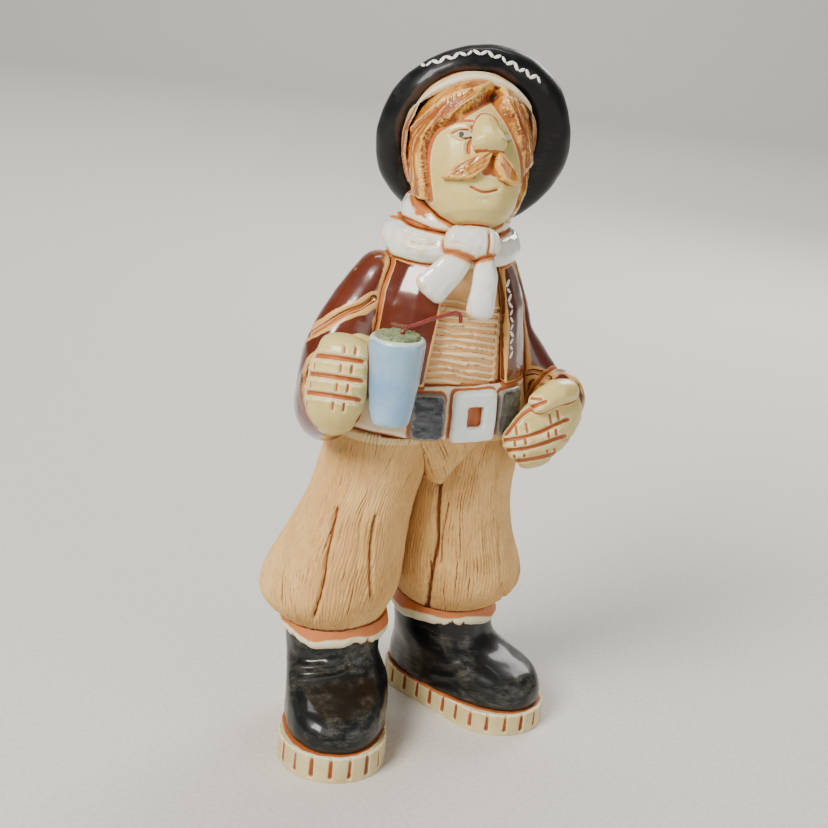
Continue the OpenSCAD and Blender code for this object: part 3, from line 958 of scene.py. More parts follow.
def finished(name: str, mesh: bpy.types.Mesh, finish: Finishes, nodes: tuple[str, ...]) -> bpy.types.Object:
    """Puts a mesh into the scene as one piece of the figure.

    Args:
        name: the piece's name.
        mesh: its mesh.
        finish: its glaze or clay.
        nodes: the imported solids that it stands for.

    Returns:
        The piece.
    """
    made = bpy.data.objects.new(name, mesh)
    bpy.context.scene.collection.objects.link(made)
    mesh.materials.clear()
    mesh.materials.append(PALETTE.get(finish))
    mesh.polygons.foreach_set("use_smooth", np.ones(len(mesh.polygons), bool))
    mesh.update()
    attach(made, "root")
    if nodes:
        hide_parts(*nodes)
    finish.slot
    LOG.info("%s: %d faces", name, len(mesh.polygons))
    return made


@dataclass(frozen=True)
class Working:
    """How a piece is worked from the rough solid to its finished skin, in millimetres.

    Attributes:
        grain: size of the skin's faces.
        rub: how often its facets are rubbed down.
        swell: how far it is grown, so that pieces meet.
        dent: width of the dents that fingers leave, or 0 for none.
        depth: depth of the dents.
        seed: which dents.
        cuts: the cuts made in it.
        soften: how often it is rubbed down after the cuts.
        sharp: how far a fully bare edge stands out, or 0 to leave the skin unweathered.
        hollow: how deep a fully stained hollow is.
        spread: how widely the weathering looks.
        seam: how near another piece has to be for wash to gather, or 0 for no seams.
    """

    grain: float
    rub: int
    swell: float = 0.12
    dent: float = 0.0
    depth: float = 0.2
    seed: int = 0
    cuts: tuple[Lines, ...] = ()
    soften: int = 0
    sharp: float = 0.12
    hollow: float = 0.3
    spread: int = 8
    seam: float = 0.0

    def skin(self, node: str) -> Skin:
        """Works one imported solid.

        Args:
            node: the solid.

        Returns:
            Its skin.
        """
        skin = Skin.of((node,), self.grain, self.rub, self.swell)
        if self.dent:
            skin.dent(self.dent, self.depth, self.seed)
        for lines in self.cuts:
            skin.carve(lines)
        skin.relax(self.soften)
        if self.sharp:
            skin.weather(self.sharp, self.hollow, self.spread)
        if self.seam:
            skin.seams(self.seam)
        return skin


@dataclass
class Part:
    """One sub-assembly of the figure.

    Attributes:
        pieces: the finished pieces, by name.
    """

    pieces: dict[str, bpy.types.Object] = field(default_factory=dict)

    def keep(self, skin: Skin, name: str, finish: Finishes) -> None:
        """Finishes a skin and keeps it."""
        self.pieces[name] = skin.piece(name, finish)

    def build(self) -> None:
        """Builds the sub-assembly's pieces."""
        raise NotImplementedError


# ---------------------------------------------------------------- things that repeat


class Growth:
    """A geometry tree with named inputs, applied to a mesh and then baked."""

    def __init__(self, name: str) -> None:
        """Makes a tree with a geometry going in and out.

        Args:
            name: the tree's name.
        """
        self.tree = bpy.data.node_groups.new(name, "GeometryNodeTree")
        self.tree.interface.new_socket("Geometry", in_out="INPUT", socket_type="NodeSocketGeometry")
        self.tree.interface.new_socket("Geometry", in_out="OUTPUT", socket_type="NodeSocketGeometry")
        self.source = self.tree.nodes.new("NodeGroupInput")
        self.end = self.tree.nodes.new("NodeGroupOutput")
        self.values: dict[str, "float | int"] = {}

    def input(self, label: str, value: "float | int") -> bpy.types.NodeSocket:
        """Adds a named input.

        Args:
            label: its name.
            value: the value it is given.

        Returns:
            Its socket inside the tree.
        """
        kind = "NodeSocketInt" if isinstance(value, int) else "NodeSocketFloat"
        item = self.tree.interface.new_socket(label, in_out="INPUT", socket_type=kind)
        self.values[item.identifier] = value
        return self.source.outputs[label]

    def node(self, kind: str, settings: dict, sockets: dict) -> bpy.types.Node:
        """Makes one node.

        Args:
            kind: the node's type.
            settings: its properties, set before its sockets.
            sockets: values or links by socket name or number.

        Returns:
            The new node.
        """
        made = self.tree.nodes.new(kind)
        for key, value in settings.items():
            setattr(made, key, value)
        for key, value in sockets.items():
            if isinstance(value, bpy.types.NodeSocket):
                self.tree.links.new(value, made.inputs[key])
            else:
                made.inputs[key].default_value = value
        return made

    def bake(self, mesh: bpy.types.Mesh, shape: bpy.types.NodeSocket, finish: Finishes) -> bpy.types.Mesh:
        """Ends the tree, runs it on a mesh and returns what it makes.

        Args:
            mesh: the mesh going in.
            shape: the socket that carries the result.
            finish: the finish set on it.

        Returns:
            The plain mesh.
        """
        real = self.node("GeometryNodeRealizeInstances", {}, {"Geometry": shape})
        dress = self.node("GeometryNodeSetMaterial", {}, {"Geometry": real.outputs[0]})
        dress.inputs["Material"].default_value = PALETTE.get(finish)
        self.tree.links.new(dress.outputs[0], self.end.inputs[0])
        holder = bpy.data.objects.new("growth", mesh)
        bpy.context.scene.collection.objects.link(holder)
        modifier = holder.modifiers.new("growth", "NODES")
        modifier.node_group = self.tree
        for identifier, value in self.values.items():
            modifier[identifier] = value
        return baked(holder)


@dataclass
class Garland:
    """A row of small painted leaves along a path on the surface.

    Attributes:
        gap: the distance from leaf to leaf.
        leaf: a leaf's length.
        spread: how far the leaves turn from the path, left and right in turn.
        seed: which leaf sizes.
    """

    gap: float = 1.25
    leaf: float = 1.5
    spread: float = 0.75
    seed: int = 3

    def paint(self, name: str, lines: Lines, path: tuple[Point2, ...],
              on: bpy.types.Object) -> bpy.types.Object:
        """Paints the garland.

        Args:
            name: the piece's name.
            lines: the plane that the path is laid out on.
            path: the path.
            on: the piece that it is painted on.

        Returns:
            The painted piece.
        """
        marks = lines.project(path, surface_of(on.data))
        mesh = bpy.data.meshes.new(name)
        steps = [(i, i + 1) for i in range(len(marks) - 1)]
        mesh.from_pydata([place * MM for place, _ in marks], steps, [])
        out = mesh.attributes.new("out", "FLOAT_VECTOR", "POINT")
        out.data.foreach_set("vector", np.array([tuple(normal) for _, normal in marks]).ravel())
        grow = Growth(name)
        gap = grow.input("Gap", self.gap * MM)
        length = grow.input("Leaf", self.leaf * MM * 0.5)
        spread = grow.input("Spread", self.spread)
        seed = grow.input("Seed", self.seed)
        curve = grow.node("GeometryNodeMeshToCurve", {}, {"Mesh": grow.source.outputs[0]})
        row = grow.node("GeometryNodeResampleCurve", {"mode": "LENGTH"}, {
            "Curve": curve.outputs[0], "Length": gap,
        })
        drop = grow.node("GeometryNodeMeshUVSphere", {}, {"Segments": 8, "Rings": 5, "Radius": length})
        flat = grow.node("GeometryNodeTransform", {}, {
            "Geometry": drop.outputs[0], "Scale": (1.0, 0.42, 0.16), "Translation": (0.0, 0.0, 0.00003),
        })
        along = grow.node("GeometryNodeInputTangent", {}, {})
        facing_out = grow.node("GeometryNodeInputNamedAttribute", {"data_type": "FLOAT_VECTOR"}, {
            "Name": "out",
        })
        first = grow.node("FunctionNodeAlignRotationToVector", {"axis": "Z"}, {
            "Vector": facing_out.outputs[0],
        })
        second = grow.node("FunctionNodeAlignRotationToVector", {"axis": "X", "pivot_axis": "Z"}, {
            "Rotation": first.outputs[0], "Vector": along.outputs[0],
        })
        index = grow.node("GeometryNodeInputIndex", {}, {})
        turn = grow.node("ShaderNodeMath", {"operation": "MODULO"}, {0: index.outputs[0], 1: 2.0})
        swing = grow.node("ShaderNodeMath", {"operation": "MULTIPLY_ADD"}, {
            0: turn.outputs[0], 1: 2.0, 2: -1.0,
        })
        amount = grow.node("ShaderNodeMath", {"operation": "MULTIPLY"}, {0: swing.outputs[0], 1: spread})
        angles = grow.node("ShaderNodeCombineXYZ", {}, {"Z": amount.outputs[0]})
        twist = grow.node("FunctionNodeEulerToRotation", {}, {0: angles.outputs[0]})
        facing_leaf = grow.node("FunctionNodeRotateRotation", {"rotation_space": "LOCAL"}, {
            0: second.outputs[0], 1: twist.outputs[0],
        })
        size = grow.node("FunctionNodeRandomValue", {"data_type": "FLOAT"}, {
            2: 0.75, 3: 1.15, "Seed": seed,
        })
        leaves = grow.node("GeometryNodeInstanceOnPoints", {}, {
            "Points": row.outputs[0], "Instance": flat.outputs[0], "Rotation": facing_leaf.outputs[0],
            "Scale": size.outputs[1],
        })
        made = grow.bake(mesh, leaves.outputs[0], Finishes.SCARF)
        return finished(name, made, Finishes.SCARF, ())


# ---------------------------------------------------------------- the figure

SIDES = ("right", "left")

FACE = Lines(14.0, "head", (
    Cut(((-8.6, 8.3), (-5.6, 9.9), (-2.4, 10.6), (0.4, 10.7)), 0.5, 0.6, 0.9),
    Cut(((-1.4, 10.3), (-0.2, 7.9), (-1.1, 4.3), (-0.4, 1.3)), 0.7, 1.0, 1.0),
    Cut(((-6.4, 6.6), (-4.0, 7.9), (-1.0, 8.1)), 0.36, 0.55),
    Cut(((-6.4, 6.5), (-3.6, 5.8), (-1.0, 6.4)), 0.3, 0.4, 0.6),
    Cut(((0.8, 3.5), (4.6, 3.3), (8.8, 3.7)), 0.6, 0.5, 1.0),
    Cut(((5.3, 2.5), (5.2, 0.1)), 1.5, 0.4, 1.1, 0.0, True),
    Cut(((4.0, -1.7), (5.2, -1.4), (6.6, -1.7)), 1.4, 0.3, 1.0, 0.0, True),
    Cut(((0.0, -5.7), (4.2, -7.0), (8.3, -5.8)), 0.42, 0.7, 1.2),
    Cut(((1.6, -8.7), (4.0, -9.3), (6.4, -8.9)), 0.8, 0.25, 0.2),
))

EYE_SPOT = (-3.2, 7.0)

HAIRLINE = {
    "right": ((3.4, 16.3), (-3.7, 11.1), (-9.8, 6.3), (-11.0, -0.8), (-9.2, -10.4)),
    "left": ((3.4, 16.3), (9.0, 9.9), (12.8, 2.4), (14.0, -5.3), (14.0, -12.3)),
}
BELOW_HAIR = ((-17.6, -6.5), (-40.0, -6.5), (-40.0, -50.0), (40.0, -50.0), (40.0, -12.3))

LIP = (5.3, 4.1)
# Shares of a wing's reach to the side, and how far down.
WING = ((0.0, 0.0), (0.33, -1.3), (0.64, -3.6), (1.0, -8.9), (0.62, -8.9), (0.32, -7.9), (0.08, -4.6))
WING_REACH = {"right": -12.3, "left": 7.1}


def face_outline() -> np.ndarray:
    """The edge of the bare face: a pointed arch under the hair, open below."""
    right, left = flowing(HAIRLINE["right"]), flowing(HAIRLINE["left"])
    return np.vstack([right, BELOW_HAIR, left[::-1]])


def wing_outline(side: str) -> np.ndarray:
    """The outline of one half of the moustache, from under the nose to its tip and back.

    Args:
        side: which half.

    Returns:
        The outline's corners.
    """
    return np.array(LIP) + np.array(WING) * (WING_REACH[side], 1.0)


@dataclass(frozen=True)
class Tress:
    """Carved locks that hang from under the hat to the hairline.

    Attributes:
        roots: the line that they start on.
        tips: the line that they end on.
        count: how many there are.
        bow: how much they bow, for a lock one millimetre long; it grows with the square of the length.
    """

    roots: tuple[Point2, ...]
    tips: tuple[Point2, ...]
    count: int
    bow: float

    def locks(self) -> list[np.ndarray]:
        """The middle lines of the locks.

        Returns:
            Three points for each lock: its root, its middle and its tip.
        """
        found = []
        for share in np.linspace(0.0, 1.0, self.count):
            root, tip = (part_way(flowing(line), share) for line in (self.roots, self.tips))
            run = tip - root
            sideways = np.array([run[1], -run[0]]) * math.hypot(*run) * self.bow
            found.append(np.array([root, (root + tip) / 2 + sideways, tip]))
        return found


TRESSES = (
    Tress(
        roots=((3.3, 17.5), (-3.8, 18.1), (-10.4, 13.3)),
        tips=((-3.5, 11.3), (-9.8, 6.3), (-11.0, -0.8), (-10.0, -10.6), (-13.0, -10.6), (-17.4, -3.8)),
        count=10, bow=0.0067,
    ),
    Tress(
        roots=((4.5, 17.6), (7.0, 18.4), (10.7, 16.9)),
        tips=((9.3, 10.6), (13.2, 4.8), (15.4, -4.4), (17.7, -7.3)),
        count=6, bow=-0.0042,
    ),
)


def locks() -> Lines:
    """The carved strands of hair: each deep groove has finer ones beside it.

    Returns:
        The cuts, laid out about the head.
    """
    rng = np.random.default_rng(SEED)
    cuts = []
    for tress in TRESSES:
        for lock in tress.locks():
            lock = lock + rng.uniform(-0.35, 0.35, (3, 2))
            cuts.append(Cut(tuple(map(tuple, lock)), 0.34, 0.75, 0.85, 0.25))
            for shift in (0.62, 1.24, 1.9):
                moved = lock + (shift + rng.uniform(-0.15, 0.15), shift * 0.4)
                cuts.append(Cut(tuple(map(tuple, moved)), 0.25, 0.45, 0.5, 0.3))
    return Lines(12.0, "head", tuple(cuts))


def right_fingers() -> Lines:
    """Four fingers lie level across the right hand, each with creases at its joints.

    Returns:
        The cuts, laid out about the hand.
    """
    first_top = 12.4
    thick = 5.2
    cuts = [Cut(((8.3, 12.2), (8.2, 2.7), (8.5, -7.3)), 0.8, 0.3, 1.3)]
    for finger in range(4):
        top = first_top - thick * finger
        if finger:
            cuts.append(Cut(((-12.0, top + 0.5), (-2.0, top), (7.5, top - 0.4)), 0.8, 1.15, 1.1))
        for joint, depth in ((-6.2, 0.4), (0.9, 0.5), (3.8, 0.65)):
            at = joint - 0.6 * finger
            cuts.append(Cut(((at, top - 1.0), (at - 0.1, top - 4.4)), 0.45, depth, depth * 1.55))
    return Lines(30.0, "right_hand", tuple(cuts))


def left_fingers() -> Lines:
    """Four fingers slant down round the left hand, each with creases at its joints.

    Returns:
        The cuts, laid out about the hand.
    """
    across = (-12.3, -5.0, 0.0, 4.2, 8.0)
    rise = np.array((-5.5, -3.8, -1.5, 1.2, 3.5))
    thick = 4.2
    cuts = [
        Cut(((-7.5, 8.5), (-4.3, 7.9), (0.0, 7.8)), 0.6, 0.6),
        Cut(((1.5, 7.9), (-5.5, 3.5), (-10.3, -4.1)), 0.8, 0.7, 1.2),
    ]
    for finger in range(3):
        height = rise * (1.0 - 0.2 * finger) - thick * finger
        cuts.append(Cut(tuple(zip(across, height)), 0.72, 1.05, 1.1))
        slant = 1.2 - 0.4 * finger
        for joint in (-6.2, -3.3, 2.8, 4.7):
            low = float(np.interp(joint, across, height)) + 0.4
            cuts.append(Cut(((joint - slant, low + 3.9 - finger), (joint, low)), 0.42, 0.63))
    return Lines(14.0, "left_hand", tuple(cuts))


TROUSER_GASHES = Lines(14.0, "trouser_front_panel", (
    Cut(((-27.2, -17.6), (-28.8, -32.4), (-29.1, -41.5), (-31.1, -53.1)), 0.6, 1.3, 0.8),
    Cut(((-16.2, -18.6), (-16.9, -25.5), (-16.4, -36.0), (-15.1, -45.6)), 0.55, 1.1, 0.7),
    Cut(((-19.8, -15.6), (-20.2, -27.6), (-19.8, -41.6)), 0.7, 0.35, 0.1),
    Cut(((0.1, -5.6), (0.8, -17.9), (1.6, -25.7), (0.8, -35.0), (0.8, -46.1)), 0.7, 1.6, 1.2),
    Cut(((3.3, -12.6), (2.8, -22.6), (3.2, -32.6)), 0.5, 0.6, 0.6),
    Cut(((17.4, -15.6), (19.4, -29.6), (21.9, -41.6)), 0.5, 0.6, 0.3),
))

ELBOW_FOLD = Lines(16.0, "right_upper_sleeve", (
    Cut(((7.7, 12.7), (4.1, 9.5), (-1.3, 6.7), (-10.8, -0.4)), 0.7, 1.4, 0.9, 0.0),
))
CUFF_FOLD = Lines(16.0, "left_thumb", (Cut(((-9.1, 4.7), (-5.6, 5.7), (-1.1, 4.5)), 0.5, 0.8, 0.75, 0.0),))

BOOT_CREASES = {
    "right": Lines(14.0, "right_boot", (
        Cut(((-14.0, -3.1), (-1.5, -0.6), (3.5, 3.4)), 0.9, 0.9, 0.0, 0.4),
        Cut(((-15.0, 3.4), (-9.0, 2.0), (-3.0, 3.8)), 1.1, 0.5, 0.0, 0.4),
    )),
    "left": Lines(14.0, "left_boot", (
        Cut(((-8.5, -9.8), (-3.1, -11.2), (2.9, -9.4)), 1.0, 0.7, 0.0, 0.4),
        Cut(((-13.1, -17.8), (-8.1, -15.4), (-1.1, -14.2)), 0.9, 0.5, 0.0, 0.4),
    )),
}

BUCKLE_HOLE = Lines(16.5, "belt_buckle", (Cut(((0.0, -2.2), (0.0, 2.2)), 2.8, 0.25, 1.1, 0.0, True),))

HAT_GARLAND = ((-14.7, 23.0), (0.0, 27.5), (14.6, 22.4))
PANEL = Lines(16.0, "jacket_left_front")
PANEL_GARLAND = ((-2.5, 6.8), (-0.4, -2.2), (0.7, -12.2))


def ridges() -> Lines:
    """The shirt's torn, wavy ridges.

    Returns:
        The cuts, laid out about the shirt.
    """
    first = 6.3
    pitch = 2.0
    rng = np.random.default_rng(SEED + 1)
    cuts = []
    for row in range(11):
        z = first - pitch * row + rng.uniform(-0.3, 0.3)
        path = tuple((float(s), z + rng.uniform(-0.45, 0.45)) for s in np.linspace(-6.5, 14.8, 7))
        width = rng.uniform(0.45, 0.65)
        depth = rng.uniform(0.8, 1.15)
        cuts.append(Cut(path, width, depth, rng.uniform(0.45, 0.75), 0.5, True))
        middle = rng.uniform(-3.0, 10.0)
        nick = ((middle, z + 0.9), (middle + 2.2, z + 0.7 + rng.uniform(-0.3, 0.3)), (middle + 4.5, z + 1.0))
        cuts.append(Cut(nick, 0.3, 0.5, 0.5, 0.4))
    return Lines(16.0, "shirt_body", tuple(cuts))


SCARF_CUTS = Lines(16.0, "scarf_knot", (
    Cut(((-23.4, 5.3), (-17.4, 4.2), (-11.4, 2.3)), 0.5, 0.5),
    Cut(((-16.4, 10.3), (-15.6, 7.4), (-12.4, 4.8)), 0.5, 0.7, 0.8),
    Cut(((4.3, -3.2), (4.5, 0.3), (4.0, 3.8)), 0.45, 0.7, 0.8),
    Cut(((-6.0, -0.8), (-3.4, -0.4), (-1.0, -1.0)), 0.4, 0.35, 0.4),
    Cut(((-19.4, -0.4), (-13.4, -1.8), (-8.4, -0.8)), 0.7, 0.45, 0.25),
))


@dataclass
class Footwear(Part):
    """Soles, boots and the cuffs that stand in them.

    Attributes:
        sole_grain: size of a sole's faces, in millimetres, as for every grain below.
        boot_grain: size of a boot's faces.
        cuff_grain: size of a cuff's faces.
        notch: depth of the knife cuts in a sole's rim.
    """

    sole_grain: float = 0.34
    boot_grain: float = 0.5
    cuff_grain: float = 0.36
    notch: float = 0.35

    def build(self) -> None:
        """Builds both feet."""
        for seed, side in enumerate(SIDES):
            sole = Skin.of((f"{side}_sole",), self.sole_grain, 1, 0.05)
            sole.weather(0.3, 0.07, 7)
            sole.wash *= 1.0 - smooth_step(np.abs(sole.normals()[:, 2]), 0.5, 0.8)
            for _ in range(3):
                sole.wash = np.maximum(sole.wash, sole.average(sole.wash) * 1.25)
            sole.push(-self.notch * np.clip(sole.wash, 0.0, 1.0))
            sole.seams(1.2)
            self.keep(sole, f"{side}_sole_knifed", Finishes.SOLE)
            leather = Working(self.boot_grain, 24, dent=9.0, depth=0.35, seed=10 + seed,
                              cuts=(BOOT_CREASES[side],), soften=3)
            self.keep(leather.skin(f"{side}_boot"), f"{side}_boot_glazed", Finishes.BOOT)
            cuff = Skin.of((f"{side}_boot_cuff",), self.cuff_grain, 6)
            self.wave(cuff, seed)
            cuff.weather(0.1, 0.2)
            cuff.seams(0.8)
            self.keep(cuff, f"{side}_cuff_frilled", Finishes.CUFF)

    def wave(self, cuff: Skin, seed: int) -> None:
        """Gives a cuff its wavy, pinched lower edge.

        Args:
            cuff: the cuff's skin.
            seed: which waves.
        """
        middle = (cuff.points.max(0) + cuff.points.min(0)) / 2
        away = cuff.points - middle
        angle = np.arctan2(away[:, 1], away[:, 0])
        low, high = cuff.points[:, 2].min(), cuff.points[:, 2].max()
        height = (cuff.points[:, 2] - low) / (high - low)
        ring = np.column_stack([np.cos(angle) * 1.5, np.sin(angle) * 1.5, np.full(len(angle), seed * 7.0)])
        frill = lumps(ring, 31) + 0.3 * lumps(ring * 2.6, 32)
        under = smooth_step(1.0 - height, 0.1, 0.9)
        cuff.points[:, 2] -= under * (0.55 + 0.9 * frill)
        flare = 0.45 * smooth_step(1.0 - height, 0.45, 0.8) * (1.0 + frill)
        cuff.push(flare - 0.3 * smooth_step(height, 0.5, 0.9))
        cuff.wash = np.maximum(cuff.wash, 0.62 * smooth_step(height + 0.15 * frill, 0.3, 0.5))


CLOTH = ("trouser_front_panel", "trouser_back_panel", "left_trouser_leg", "right_trouser_leg")


@dataclass
class Trousers(Part):
    """Baggy trousers, combed with strokes of a broken stick.

    Attributes:
        around: points in each ring of a leg's skin.
        up: rings in a leg.
        rays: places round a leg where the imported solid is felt.
        ray: how far outside the leg's middle each ray starts.
        half_slice: half height of the slice that gives a leg's middle.
        girth: the radius at which the strokes round a leg are spaced.
        rounding: how often a ring is evened out.
        levelling: how often the rings are evened out with their neighbours.
        straightening: how often the line of middles is evened out.
        stroke: distance from one stroke to the next.
        comb: depth of the strokes.
        panel_grain: size of a panel's faces.
    """

    around: int = 700
    up: int = 100
    rays: int = 220
    ray: float = 60.0
    half_slice: float = 9.0
    girth: float = 15.5
    rounding: int = 14
    levelling: int = 6
    straightening: int = 60
    stroke: float = 0.82
    comb: float = 0.5
    panel_grain: float = 0.24

    def build(self) -> None:
        """Builds both legs and the two panels between them."""
        for seed, side in enumerate(SIDES):
            leg = self.leg(f"{side}_trouser_leg", seed)
            # This also marks the sharp burrs as edges, which take a painted highlight.
            leg.weather(0.4, 0.4, 4)
            leg.seams(0.8, CLOTH)
            self.keep(leg, f"{side}_leg_combed", Finishes.TROUSERS)
        for seed, face in enumerate(("front", "back")):
            panel = Skin.of((f"trouser_{face}_panel",), self.panel_grain, 14, 0.1)
            x, _, z = panel.points.T
            lean = x * 0.8 + z * 0.45 if face == "front" else x
            flow = z * 0.8 - x * 0.45
            self.strokes(panel, lean / self.stroke, flow, 50 + seed)
            # This also marks the sharp burrs as edges, which take a painted highlight.
            panel.weather(0.4, 0.4, 4)
            panel.seams(0.7)
            self.keep(panel, f"trouser_{face}_combed", Finishes.TROUSERS)

    def leg(self, node: str, seed: int) -> Skin:
        """Draws a leg's skin as a fine upright grid, so that narrow strokes can be cut in it.

        Args:
            node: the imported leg.
            seed: which strokes.

        Returns:
            The skin.
        """
        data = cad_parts[node].data
        tree = surface_of(data)
        low, high = (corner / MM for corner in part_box(node))
        levels = np.linspace(low.z + 0.15, high.z - 0.15, self.up)
        turns = np.arange(self.rays) / self.rays * 2 * math.pi
        radius = np.zeros((self.up, self.rays))
        middles = self.middles(data, levels)
        for i, z in enumerate(levels):
            for j, turn in enumerate(turns):
                out = Vector((math.cos(turn), math.sin(turn), 0.0))
                start = Vector((*middles[i], z)) + out * self.ray
                hit = tree.ray_cast(start, -out)
                radius[i, j] = self.ray - hit[3] if hit[0] is not None else np.nan
            gaps = np.isnan(radius[i])
            radius[i, gaps] = np.nanmean(radius[i])
        for _ in range(self.rounding):
            radius = (np.roll(radius, 1, 1) + radius * 2 + np.roll(radius, -1, 1)) / 4
        for _ in range(self.levelling):
            radius[1:-1] = (radius[:-2] + radius[1:-1] * 2 + radius[2:]) / 4
        fine = np.arange(self.around) / self.around * self.rays
        rings = np.array([np.interp(fine, np.arange(self.rays + 1), np.append(r, r[0])) for r in radius])
        angle = np.arange(self.around) / self.around * 2 * math.pi
        points = np.empty((self.up, self.around, 3))
        points[..., 0] = middles[:, 0, None] + rings * np.cos(angle)
        points[..., 1] = middles[:, 1, None] + rings * np.sin(angle)
        points[..., 2] = levels[:, None]
        skin = Skin(self.grid(points), (node,))
        skin.carve(TROUSER_GASHES)
        flat = points.reshape(-1, 3)
        count = len(flat)
        arc = np.tile((angle - math.pi / 2) % (2 * math.pi), self.up) * self.girth
        across = np.append(arc, (0, 0)) / self.stroke
        self.strokes(skin, across, np.append(flat[:, 2], (0, 0)), seed * 9, count)
        return skin

    def middles(self, data: bpy.types.Mesh, levels: np.ndarray) -> np.ndarray:
        """The middle of the leg at each level, following its bends.

        Args:
            data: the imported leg's mesh.
            levels: the heights.

        Returns:
            A place across and along for each height.
        """
        points = np.array([v.co for v in data.vertices]) / MM
        found = []
        for z in levels:
            near = points[np.abs(points[:, 2] - z) < self.half_slice]
            found.append((near[:, :2].max(0) + near[:, :2].min(0)) / 2)
        middle = np.array(found)
        for _ in range(self.straightening):
            middle[1:-1] = (middle[:-2] + middle[1:-1] + middle[2:]) / 3
        return middle

    def grid(self, points: np.ndarray) -> bpy.types.Mesh:
        """Joins rings of points into a closed tube.

        Args:
            points: the rings, from the lowest up.

        Returns:
            The tube's mesh.
        """
        up, around = points.shape[:2]
        ends = [points[0].mean(0), points[-1].mean(0)]
        corners = np.vstack([points.reshape(-1, 3), ends]) * MM
        faces = []
        for i in range(up - 1):
            for j in range(around):
                k = (j + 1) % around
                low, high = i * around, (i + 1) * around
                faces.append((low + j, low + k, high + k, high + j))
        bottom = up * around
        top = bottom + 1
        last = (up - 1) * around
        for j in range(around):
            k = (j + 1) % around
            faces.append((bottom, k, j))
            faces.append((top, last + j, last + k))
        mesh = bpy.data.meshes.new("leg")
        mesh.from_pydata([tuple(c) for c in corners], [], faces)
        return mesh

    def strokes(self, skin: Skin, across: np.ndarray, along: np.ndarray, seed: int,
                count: "int | None" = None) -> None:
        """Combs the clay: long, uneven grooves with torn lips.

        Args:
            skin: the skin.
            across: place across the strokes, in strokes.
            along: place along them, in millimetres.
            seed: which strokes.
            count: how many of the points are combed.
        """
        zero = np.zeros(len(across))
        sway = lumps(np.column_stack([across * 0.05, along * 0.05, zero]), seed) * 2.2
        lane = across + sway
        torn = lumps(np.column_stack([lane * 1.2, along * 0.8, zero + 1.5]), seed + 3)
        phase = lane + 0.7 * lumps(np.column_stack([lane * 0.45, along * 0.11, zero + 3.5]), seed + 1)
        phase += 0.2 * lumps(np.column_stack([lane * 0.9, along * 0.45, zero + 6.5]), seed + 5)
        groove = np.clip(np.cos(phase * 2 * math.pi), 0.0, 1.0) ** 1.6
        firm = 0.6 + 0.6 * lumps(np.column_stack([lane * 0.7, along * 0.13, zero + 8.5]), seed + 2)
        bold = 0.85 + 0.35 * lumps(np.column_stack([lane * 0.15, along * 0.06, zero + 5.5]), seed + 4)
        groove = np.clip(groove * firm * bold * (1.0 + 0.4 * torn), 0.0, 1.2)
        ridge = 0.3 - groove + 0.3 * torn
        if count is not None:
            ridge[count:] = 0.0
            groove = groove.copy()
            groove[count:] = 0.0
        height = skin.points[:, 2]
        ends = smooth_step(height, height.min(), height.min() + 2.0)
        skin.push(self.comb * ridge * ends)
        skin.wash = np.maximum(skin.wash, smooth_step(groove, 0.25, 0.9) * 0.95)
        # The burr tops count as edges and take the pale thin-edge colour, a painted highlight.
        skin.edge = np.maximum(skin.edge, smooth_step(ridge, 0.36, 0.6) * 0.55)


@dataclass
class Waist(Part):
    """The belt with its buckle and two metal plates.

    Attributes:
        belt_grain: size of the belt's faces.
        plate_grain: size of the buckle's and the plates' faces.
    """

    belt_grain: float = 0.5
    plate_grain: float = 0.22

    def build(self) -> None:
        """Builds the belt and what is on it."""
        strap = Working(self.belt_grain, 14, 0.1, dent=6.0, depth=0.25, seed=60, cuts=(BUCKLE_HOLE,),
                        hollow=0.2, seam=1.3)
        self.keep(strap.skin("belt"), "belt_glazed", Finishes.BELT)
        square = Working(self.plate_grain, 29, 0.25, dent=3.0, depth=0.12, seed=61, hollow=0.12,
                         seam=0.6)
        self.keep(square.skin("belt_buckle"), "buckle_glazed", Finishes.BUCKLE)
        for seed, side in enumerate(SIDES):
            metal = Working(self.plate_grain, 29, 0.3, dent=2.5, seed=62 + seed, hollow=0.12)
            self.keep(metal.skin(f"{side}_belt_plate"), f"{side}_plate_glazed", Finishes.PLATE)


